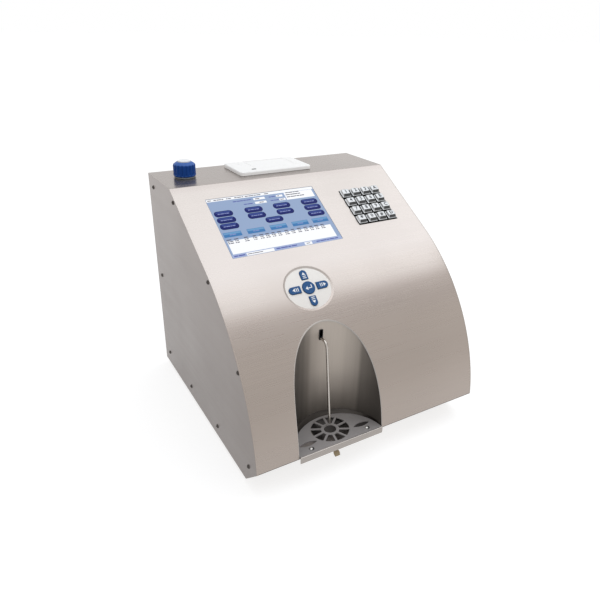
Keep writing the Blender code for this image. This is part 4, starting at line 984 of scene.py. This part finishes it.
def picture_layer(name, lift, colour, boxes, share=0.78):
    """Thin raised rectangles of one glowing colour on the screen's face."""
    glow(name, colour, share)
    outlines = [rectangle(*box) for box in boxes]
    bm = plates_mesh(outlines, SCREEN_FACE + lift - 0.02, SCREEN_FACE + lift)
    piece(name, bm, name, place=front_frame(SCREEN_AT))


def words(lines):
    """Lines of short bars that stand for small print: (x, y, length, height, number of bars)."""
    shares = [3, 5, 2, 4, 3, 6, 2, 5]
    marks = []
    for x, y, length, height, bars in lines:
        gap = height * 0.45
        unit = (length - gap * (bars - 1)) / sum(shares[:bars])
        left = x - length / 2
        for share in shares[:bars]:
            marks.append((left + share * unit / 2, y, share * unit, height))
            left += share * unit + gap
    return marks


def make_screen():
    glow("screen_ground", (0.30, 0.395, 0.585))
    refine("screen_glass", "touch_glass", "screen_ground", "screen_glass", 0.2)
    pane = plate_mesh(rounded_rectangle(SCREEN[0] - 0.2, SCREEN[1] - 0.2, 1.1), -SHEET - GAP, SCREEN_FACE)
    round_edges(pane, 0.1, 1, 60)
    piece("screen_pane", pane, "screen_ground", place=front_frame(SCREEN_AT))
    pills = [(-61.3, 21.8), (-61.3, 11.4), (-61.3, 1.3), (-21.0, 21.8), (-20.6, 11.8), (18.6, 22.0),
             (19.2, 11.5), (-0.8, 1.4), (59.4, 21.9), (59.6, 11.8), (60.0, 1.0)]
    tabs = [(-62.2, -11.8), (-31.4, -11.6), (-0.4, -11.4), (30.4, -11.4), (59.8, -11.4)]
    rim = [(0, 46.95, 151.4, 0.35), (0, -46.95, 151.4, 0.35), (-75.6, 0, 0.35, 93.5), (75.6, 0, 0.35, 93.5)]
    sheets = [(0, 44.6, 150.6, 4.2), (-1.5, -31.1, 143, 20.0), (-6.3, 38.2, 16, 3.6), (-6.5, 31.6, 16, 3.6),
              (22.8, 38.2, 9, 3.4), (24.6, 31.8, 9, 3.4), (51.5, 35.8, 42, 12.6), (-39, -44.3, 36, 4.2),
              (26.3, -44.3, 10.5, 4.2)]
    light = [(x, y - 0.3, 15, 1.3, 4) for x, y in pills] + [(x, y - 0.4, 8, 1.3, 2) for x, y in tabs]
    fields = [(-30, 38.2, 25, 1.4, 4), (-24, 31.6, 12, 1.4, 2), (12, 38.2, 9, 1.4, 2),
              (13.5, 31.8, 12, 1.4, 2), (-66, -44.2, 14, 1.7, 2), (-4, -44.0, 28, 1.7, 4),
              (54, -44.0, 32, 1.6, 5)]
    layers = [
        ("screen_rim", 0.10, (0.24, 0.28, 0.36), rim),
        ("screen_bottom_bar", 0.03, (0.36, 0.44, 0.67), [(0, -44.1, 151, 5.3)]),
        ("screen_pill_edges", 0.04, (0.012, 0.018, 0.09),
         [(x + 0.2, y - 0.4, 24.4, 9.2, 4.4) for x, y in pills]),
        ("screen_pills", 0.08, (0.001, 0.008, 0.13), [(x, y, 24, 8.6, 4.2) for x, y in pills]),
        ("screen_pill_gloss", 0.11, (0.03, 0.06, 0.26), [(x, y + 2.2, 19, 2.2, 1.0) for x, y in pills]),
        ("screen_tabs", 0.08, (0.05, 0.19, 0.44), [(x, y, 23, 7.4) for x, y in tabs]),
        ("screen_tab_gloss", 0.11, (0.15, 0.33, 0.57), [(x, y + 1.9, 22, 2.6) for x, y in tabs]),
        ("screen_sheets", 0.06, (0.93, 0.94, 0.96), sheets, 0.82),
        ("screen_light_print", 0.14, (0.24, 0.29, 0.58), words(light)),
        ("screen_ink_print", 0.10, (0.11, 0.11, 0.15), words(ink_lines())),
        ("screen_blue_print", 0.10, (0.11, 0.13, 0.40), words(fields)),
    ]
    for layer in layers:
        picture_layer(*layer)


def ink_lines():
    """Dark small print on the picture: a menu, fields and a table of plain ticks."""
    menu = [(-71.4, 4.6, 1), (-59.3, 13, 3), (-45.9, 6.5, 2), (-31.9, 12.3, 3), (-12.7, 22, 4), (6.3, 6, 1)]
    lines = [(x, 44.5, length, 1.3, bars) for x, length, bars in menu]
    lines += [(-9, 38.2, 6, 1.3, 1), (-5.5, 31.6, 6, 1.2, 1), (21, 38.2, 3, 1.2, 1), (24, 31.8, 5, 1.2, 1),
              (43, 41.6, 20, 1.4, 4), (43, 38.0, 22, 1.4, 3), (45, 34.2, 26, 1.4, 4),
              (-46, -44.2, 20, 1.0, 3), (26, -44.2, 5, 1.1, 1)]
    columns = [-60.7, -48.2, -37.1, -27.9, -20.1, -11.9, -3.7, 6.3, 15.2, 24.2, 33.5, 41.9, 49.6, 58.4]
    lines.append((-70, -19.4, 6, 1.4, 1))
    lines += [(x, -19.4, 5.4 - column % 3 * 0.6, 1.4, 1) for column, x in enumerate(columns)]
    for row, y in enumerate((-22.2, -24.8)):
        lines.append((-69, y, 7, 1.3, 2))
        lines += [(x, y, 4.4 + (column + row) % 3 * 0.6, 1.3, 2) for column, x in enumerate(columns)]
    return lines


# Keypad


def key_body():
    """A key in its own frame: a skirt, then a raised top that is slightly dished."""
    bm = bmesh.new()
    levels = [(-4.0, 1.0, 1.0, 0), (1.0, 1.0, 1.0, 0), (1.25, 0.985, 0.985, 0), (1.6, 0.90, 0.90, 0),
              (1.5, 0.87, 0.87, 0), (1.55, 0.85, 0.85, 0), (2.0, 0.84, 0.81, 0.2),
              (KEY_TOP - 0.35, 0.80, 0.63, KEY_SHIFT - 0.1), (KEY_TOP - 0.1, 0.775, 0.60, KEY_SHIFT),
              (KEY_TOP, 0.74, 0.56, KEY_SHIFT), (KEY_TOP - 0.04, 0.50, 0.38, KEY_SHIFT)]
    rings = []
    for height, across, along, shift in levels:
        outline = rounded_rectangle(KEY[0] * across, KEY[1] * along, 1.1 * across, 5)
        rings.append([bm.verts.new((x, y + shift, height)) for x, y in outline])
    bridge(bm, rings)
    bm.faces.new(list(reversed(rings[0])))
    bm.faces.new(rings[-1])
    return bm


def legend_mesh(mark):
    """A figure or letter as a thin raised print, from the plain built-in face."""
    curve = bpy.data.curves.new("legend", "FONT")
    curve.body = mark
    curve.size = 11 if mark == "*" else 7.2
    curve.align_x = "CENTER"
    curve.align_y = "CENTER"
    curve.offset = 0.22
    curve.extrude = 0.04
    curve.resolution_u = 4
    guide = add_object("legend", curve)
    bm = bmesh.new()
    bm.from_mesh(evaluated(guide))
    bmesh.ops.remove_doubles(bm, verts=bm.verts, dist=1e-4)
    bpy.data.objects.remove(guide, do_unlink=True)
    return bm


def make_keys():
    for row, marks in enumerate(KEY_ROWS):
        for column, mark in enumerate(marks):
            x = KEYPAD_AT[0] + (column - 1.5) * KEY_PITCH[0]
            place = front_frame((x, KEYPAD_AT[1] + (row - 1.5) * KEY_PITCH[1]))
            body = "key_" + {"*": "star", "#": "hash"}.get(mark, mark.lower())
            piece(body + "_cap", key_body(), "key_metal", body, place, 30, body)
            print_place = place @ at(0, KEY_SHIFT - (1.3 if mark == "*" else 0), KEY_TOP + 0.02)
            piece(body + "_print", legend_mesh(mark), "key_ink", body, print_place)


# Arrow pad


def make_pad_rim():
    """The pressed rim round the pad: the sheet turns down, and then out flat again."""
    bm = bmesh.new()
    steps = 14
    rows = []
    for i in range(steps + 1):
        share = i / steps
        width, height = (rim + 0.05 + (face - 0.4 - rim) * share for rim, face in zip(PAD_RIM, PAD_HALF))
        inset = (PAD_SUNK - 0.06) * (1 - cos(pi * share)) / 2
        frames = [front_frame((PAD_AT[0] + x, PAD_AT[1] - y)) for x, y in oval(width, height, 144)]
        rows.append([bm.verts.new(place @ Vector((0, 0, -inset))) for place in frames])
    bridge(bm, rows)
    thicken(piece("pad_rim", bm, "front_steel", smooth=80), 0.5)


def make_pad_face():
    face = refine("pad_face", "arrow_pad", "pad_film", soften=0)
    face.data.shade_smooth()
    follow(face, out_of)


def arrow_outline(end):
    """A key with two small corners toward the pad's middle, and a round end."""
    corners = rounded_rectangle(2 * ARROW_HALF, 4, 1.0, 4)
    lower = [(x, y + ARROW_START + 2) for x, y in corners[len(corners) // 2:]]
    return lower + arc((0, end - ARROW_HALF), ARROW_HALF, 0, pi, 24)


def pad_key(name, body, bm, top, place, signs):
    """A blue key on the pad, with its white sign."""
    weigh_normals(piece(name + "_cap", bm, "blue_key_film", body, place, 40, body))
    piece(name + "_sign", plates_mesh(signs, top - 0.02, top + 0.03), "mark_white", body, place)


def make_arrow(name, place):
    end, top = ARROWS[name]
    tip = end - (4.2 if name == "left" else 3)
    signs = [[(-2.4, tip - 3.4), (2.4, tip - 3.4), (0, tip)], rectangle(0, tip - 5.2, 4.6, 0.9),
             rectangle(0, tip - 7.4, 4.6, 0.9)]
    bm = round_edges(plate_mesh(arrow_outline(end), BUTTON_BOTTOM, top), 0.4, 3, 50)
    pad_key("arrow_" + name, "arrow_key_" + name, bm, top, place, signs)


def make_enter(place):
    rod = rod_mesh(ENTER_RADIUS, ENTER_TOP - BUTTON_BOTTOM, 64, at(0, 0, (ENTER_TOP + BUTTON_BOTTOM) / 2))
    signs = [rectangle(3.6, 0.9, 1.0, 4.4), rectangle(0.7, -0.8, 6.8, 1.0),
             [(-1.6, 1.6), (-1.6, -3.2), (-4.6, -0.8)]]
    pad_key("enter", "enter_key", round_edges(rod, 0.5, 3, 50), ENTER_TOP, place, signs)


def make_pad():
    make_pad_rim()
    make_pad_face()
    base = front_frame(PAD_AT)
    for quarter, name in enumerate(ARROWS):
        make_arrow(name, base @ turn(90 * quarter, "Z"))
    make_enter(base)


# Printer


def make_printer_case():
    """The housing with its paper tub, hollow under the lid."""
    width, depth, height = PRINTER
    bezel = plate_mesh(rounded_rectangle(width, depth, 5, 10), PRINTER_TOP - height, PRINTER_TOP)
    round_edges(bezel, 1.6, 5, 60, lambda e: min(v.co.z for v in e.verts) > PRINTER_TOP - 0.1)
    housing = piece("printer_case", bezel, "white_plastic",
                    place=at(PRINTER_X, PRINTER_Y, 0), cad="printer_housing")
    combine(housing, "UNION", cutter(box_mesh(TUB), at(PAPER_X, PRINTER_Y, PRINTER_TOP - 1 - TUB[2] / 2)))
    front, back = LID_AXIS[1] - LID[1] - 0.5, LID_AXIS[1] + 3
    combine(housing, "DIFFERENCE",
            cutter(box_mesh((LID[0] + 1, back - front, TUB[2])),
                   at(PAPER_X, (front + back) / 2, PRINTER_TOP - TUB[2] / 2 + 1)),
            cutter(rod_mesh(FEED_HOLE, 30, 32), at(*FEED_AT, PRINTER_TOP)),
            cutter(plate_mesh(rounded_rectangle(*LAMP, 0.8, 4), -0.8, 2), at(*LAMP_AT, PRINTER_TOP)))
    weigh_normals(housing)


def make_printer():
    make_printer_case()
    pane = plate_mesh(rounded_rectangle(LAMP[0] - 0.1, LAMP[1] - 0.1, 0.8, 4), -0.8, 0.25)
    round_edges(pane, 0.1, 1)
    piece("printer_lamp", pane, "rubber", place=at(*LAMP_AT, PRINTER_TOP))
    refine("lid_shell", "printer_lid", "white_plastic", "printer_white", 0.45, "printer_lid", 3)
    refine("lid_pin", "lid_hinge_pin", "polished_steel", "bright_steel", 0.1, segments=1)
    refine("roller", "platen_roller", "rubber", "roller_rubber", 0.3, "platen_roller")
    button = "printer_feed_button"
    refine("feed_button_cap", button, "white_plastic", "printer_white", 0.2, button)
    make_roll()


def make_roll():
    """The paper roll, with its turns showing at both ends."""
    profile = []
    core, rim, half = ROLL
    step = (rim - core) / ROLL_TURNS
    for i in range(ROLL_TURNS):
        low = core + i * step
        profile += [(low, half), (low + step * 0.8, half), (low + step * 0.9, half - 0.25)]
    profile += [(rim, half)]
    profile += [(r, -z) for r, z in reversed(profile)]
    place = at(*ROLL_AT) @ turn(90, "Y")
    wound = turned_mesh(profile, 64, closed=True)
    piece("paper_roll_wound", wound, "paper", "paper_roll", place, 40, "paper_roll")


# Cap and bottle


def make_cap():
    """The screw cap: a ribbed skirt over a plain rim, a cone, and a hollow for the insert."""
    side, top = CAP_SIDE, CAP_SIDE + CAP_CONE
    levels = [(0, 13.9, 0), (0.6, CAP_RADIUS, 0), (1.6, CAP_RADIUS, 0), (2.0, CAP_RADIUS, 1.0),
              (side - 1.2, CAP_RADIUS, 1.0), (side - 0.2, CAP_RADIUS - 0.4, 0.35), (side + 0.5, 13.5, 0),
              (top - 1.5, 10.4, 0), (top - 1.0, 9.7, 0), (top - 0.9, 9.1, 0), (top - 0.9, 8.6, 0),
              (side - 0.7, 8.6, 0), (side - 0.7, 12.9, 0), (0, 12.9, 0)]
    bm = bmesh.new()
    count = CAP_RIBS * 12
    rings = []
    for height, radius, depth in levels:
        ring = []
        for k in range(count):
            angle = 2 * pi * k / count
            wave = (1 - cos(CAP_RIBS * angle)) / 2
            reach = radius - depth * (1 - wave**0.5)
            ring.append(bm.verts.new((reach * cos(angle), reach * sin(angle), height)))
        rings.append(ring)
    bridge(bm, rings + rings[:1])
    place = at(*BOTTLE_AT, CAP_BOTTOM)
    piece("screw_cap", bm, "cap_plastic", "bottle_cap", place, 42, "bottle_cap")


def make_bottle():
    """The cap's insert, raised a little, the slimmer collar under the cap, and the bottle."""
    disc = refine("cap_disc", "cap_insert", "milky_plastic", "cap_white", 0.25, "cap_insert")
    disc.data.transform(at(0, 0, INSERT_LIFT * MM))
    # the collar's dark grey is painted shade under the cap
    collar = refine("neck_collar", "neck_ring", "collar_shade_plastic", "cap_white")
    axis = Vector(BOTTLE_AT) * MM
    for vertex in collar.data.vertices:
        out = vertex.co.xy - axis
        if out.length > 14 * MM:
            vertex.co.xy = axis + out * COLLAR_SLIM
    refine("bottle", "rinse_bottle", "milky_plastic", "bottle_plastic", 0.5, segments=3)


# Pieces that keep their solid's form


def make_plain_pieces():
    """Softened copies of the solids whose form is already right."""
    plain = [
        ("rear_sheet", "rear_panel", "side_steel"),
        ("bottom_sheet", "base_plate", "side_steel"),
        ("sump", "drain_sump", "sump_tray_steel", "case_steel", 0),
        ("nipple", "drain_nipple", "brass", "brass", 0.15),
        ("tube_fork", "tube_bracket", "grey_plastic", "bracket_plastic", 0.4),
        ("display_back", "display_module", "black_plastic", "black_plastic"),
        ("board", "main_board", "circuit_board", "circuit_board", 0.2),
        ("key_tray", "keypad_base", "rubber", "black_plastic", 0.4),
        ("switch_board", "pad_switch_board", "circuit_board", "circuit_board", 0.2),
        ("cell", "measuring_cell", "cast_alloy", "cell_aluminium", 0.5),
        ("pump_case", "pump_head", "grey_plastic", "bracket_plastic", 0.5),
        ("motor", "pump_motor", "black_plastic", "motor_metal", 0.8),
        ("supply", "power_supply", "cast_alloy", "supply_aluminium", 0.5),
        ("inlet", "power_inlet", "black_plastic", "black_plastic", 0.35),
        ("data_connector", "data_port", "polished_steel", "bright_steel", 0.25),
        ("rotor", "pump_rotor", "milky_plastic", "cap_white", 0.3, "pump_rotor"),
        ("rocker", "power_switch", "black_plastic", "switch_black", 0.4, "power_switch"),
    ]
    for row in plain:
        refine(*row)
    for corner in ("front_left", "front_right", "rear_left", "rear_right"):
        refine("rubber_foot_" + corner, "foot_" + corner, "rubber", "foot_rubber", 0.6, segments=3)


# Studio


def make_softbox():
    """One large lamp that looks straight down."""
    data = bpy.data.lights.new("softbox", "AREA")
    data.shape = "RECTANGLE"
    data.size, data.size_y = (side * MM for side in SOFTBOX_SIZE)
    data.energy = SOFTBOX_POWER
    data.color = SOFTBOX_COLOUR
    add_object("softbox", data).location = Vector(SOFTBOX_AT) * MM


def seen_directly(tree):
    """One for rays from the camera, and for those that metal mirrors or glass lets through."""
    path = node(tree, "LightPath").outputs
    mirrored = calculate(tree, "MAXIMUM", path["Is Camera Ray"], path["Is Glossy Ray"])
    return calculate(tree, "MAXIMUM", mirrored, path["Is Transmission Ray"])


def make_floor():
    tree, shader = material("studio_floor")
    feed(tree, shader, {
        "Base Color": blend(tree, grain(tree, triple(3), 2.0), triple(0.39), triple(0.42)),
        "Roughness": 0.9,
        "Specular IOR Level": 0.1,
        "Emission Color": (1, 1, 1, 1),
        "Emission Strength": spread(tree, seen_directly(tree), 0.0, FLOOR_LIFT, 0.0, 1.0),
    })
    floor = mesh_object("floor", plate_mesh(rectangle(0, 0, FLOOR_SIZE, FLOOR_SIZE), -20, 0))
    floor.data.materials.append(LOOKS["studio_floor"])


def make_world():
    world = bpy.data.worlds.new("studio")
    scene.world = world
    world.use_nodes = True
    tree = world.node_tree
    strength = spread(tree, seen_directly(tree), WORLD_LIGHT, 1.0, 0.0, 1.0)
    feed(tree, tree.nodes["Background"], {"Color": (1, 1, 1, 1), "Strength": strength})


def make_camera():
    data = bpy.data.cameras.new("camera")
    data.sensor_width = SENSOR
    data.lens = CAMERA_LENS
    data.clip_start = 0.01
    obj = add_object("camera", data)
    place = turn(CAMERA_AZIMUTH, "Z") @ turn(90 - CAMERA_ELEVATION, "X") @ turn(CAMERA_ROLL, "Z")
    place.translation = (Vector(CAMERA_TARGET) + place.col[2].to_3d() * CAMERA_DISTANCE) * MM
    obj.matrix_world = place
    scene.camera = obj


def make_studio():
    scene.view_settings.view_transform = "Standard"
    make_floor()
    make_world()
    make_softbox()
    make_camera()


def main():
    make_steels()
    make_plastics()
    make_front_cover()
    make_hem()
    make_arch()
    make_side_panels()
    make_screws()
    make_platform()
    make_lip()
    make_seal()
    make_niche_wall()
    make_tube()
    make_slot_edge()
    make_screen()
    make_keys()
    make_pad()
    make_printer()
    make_cap()
    make_bottle()
    make_plain_pieces()
    make_studio()


main()
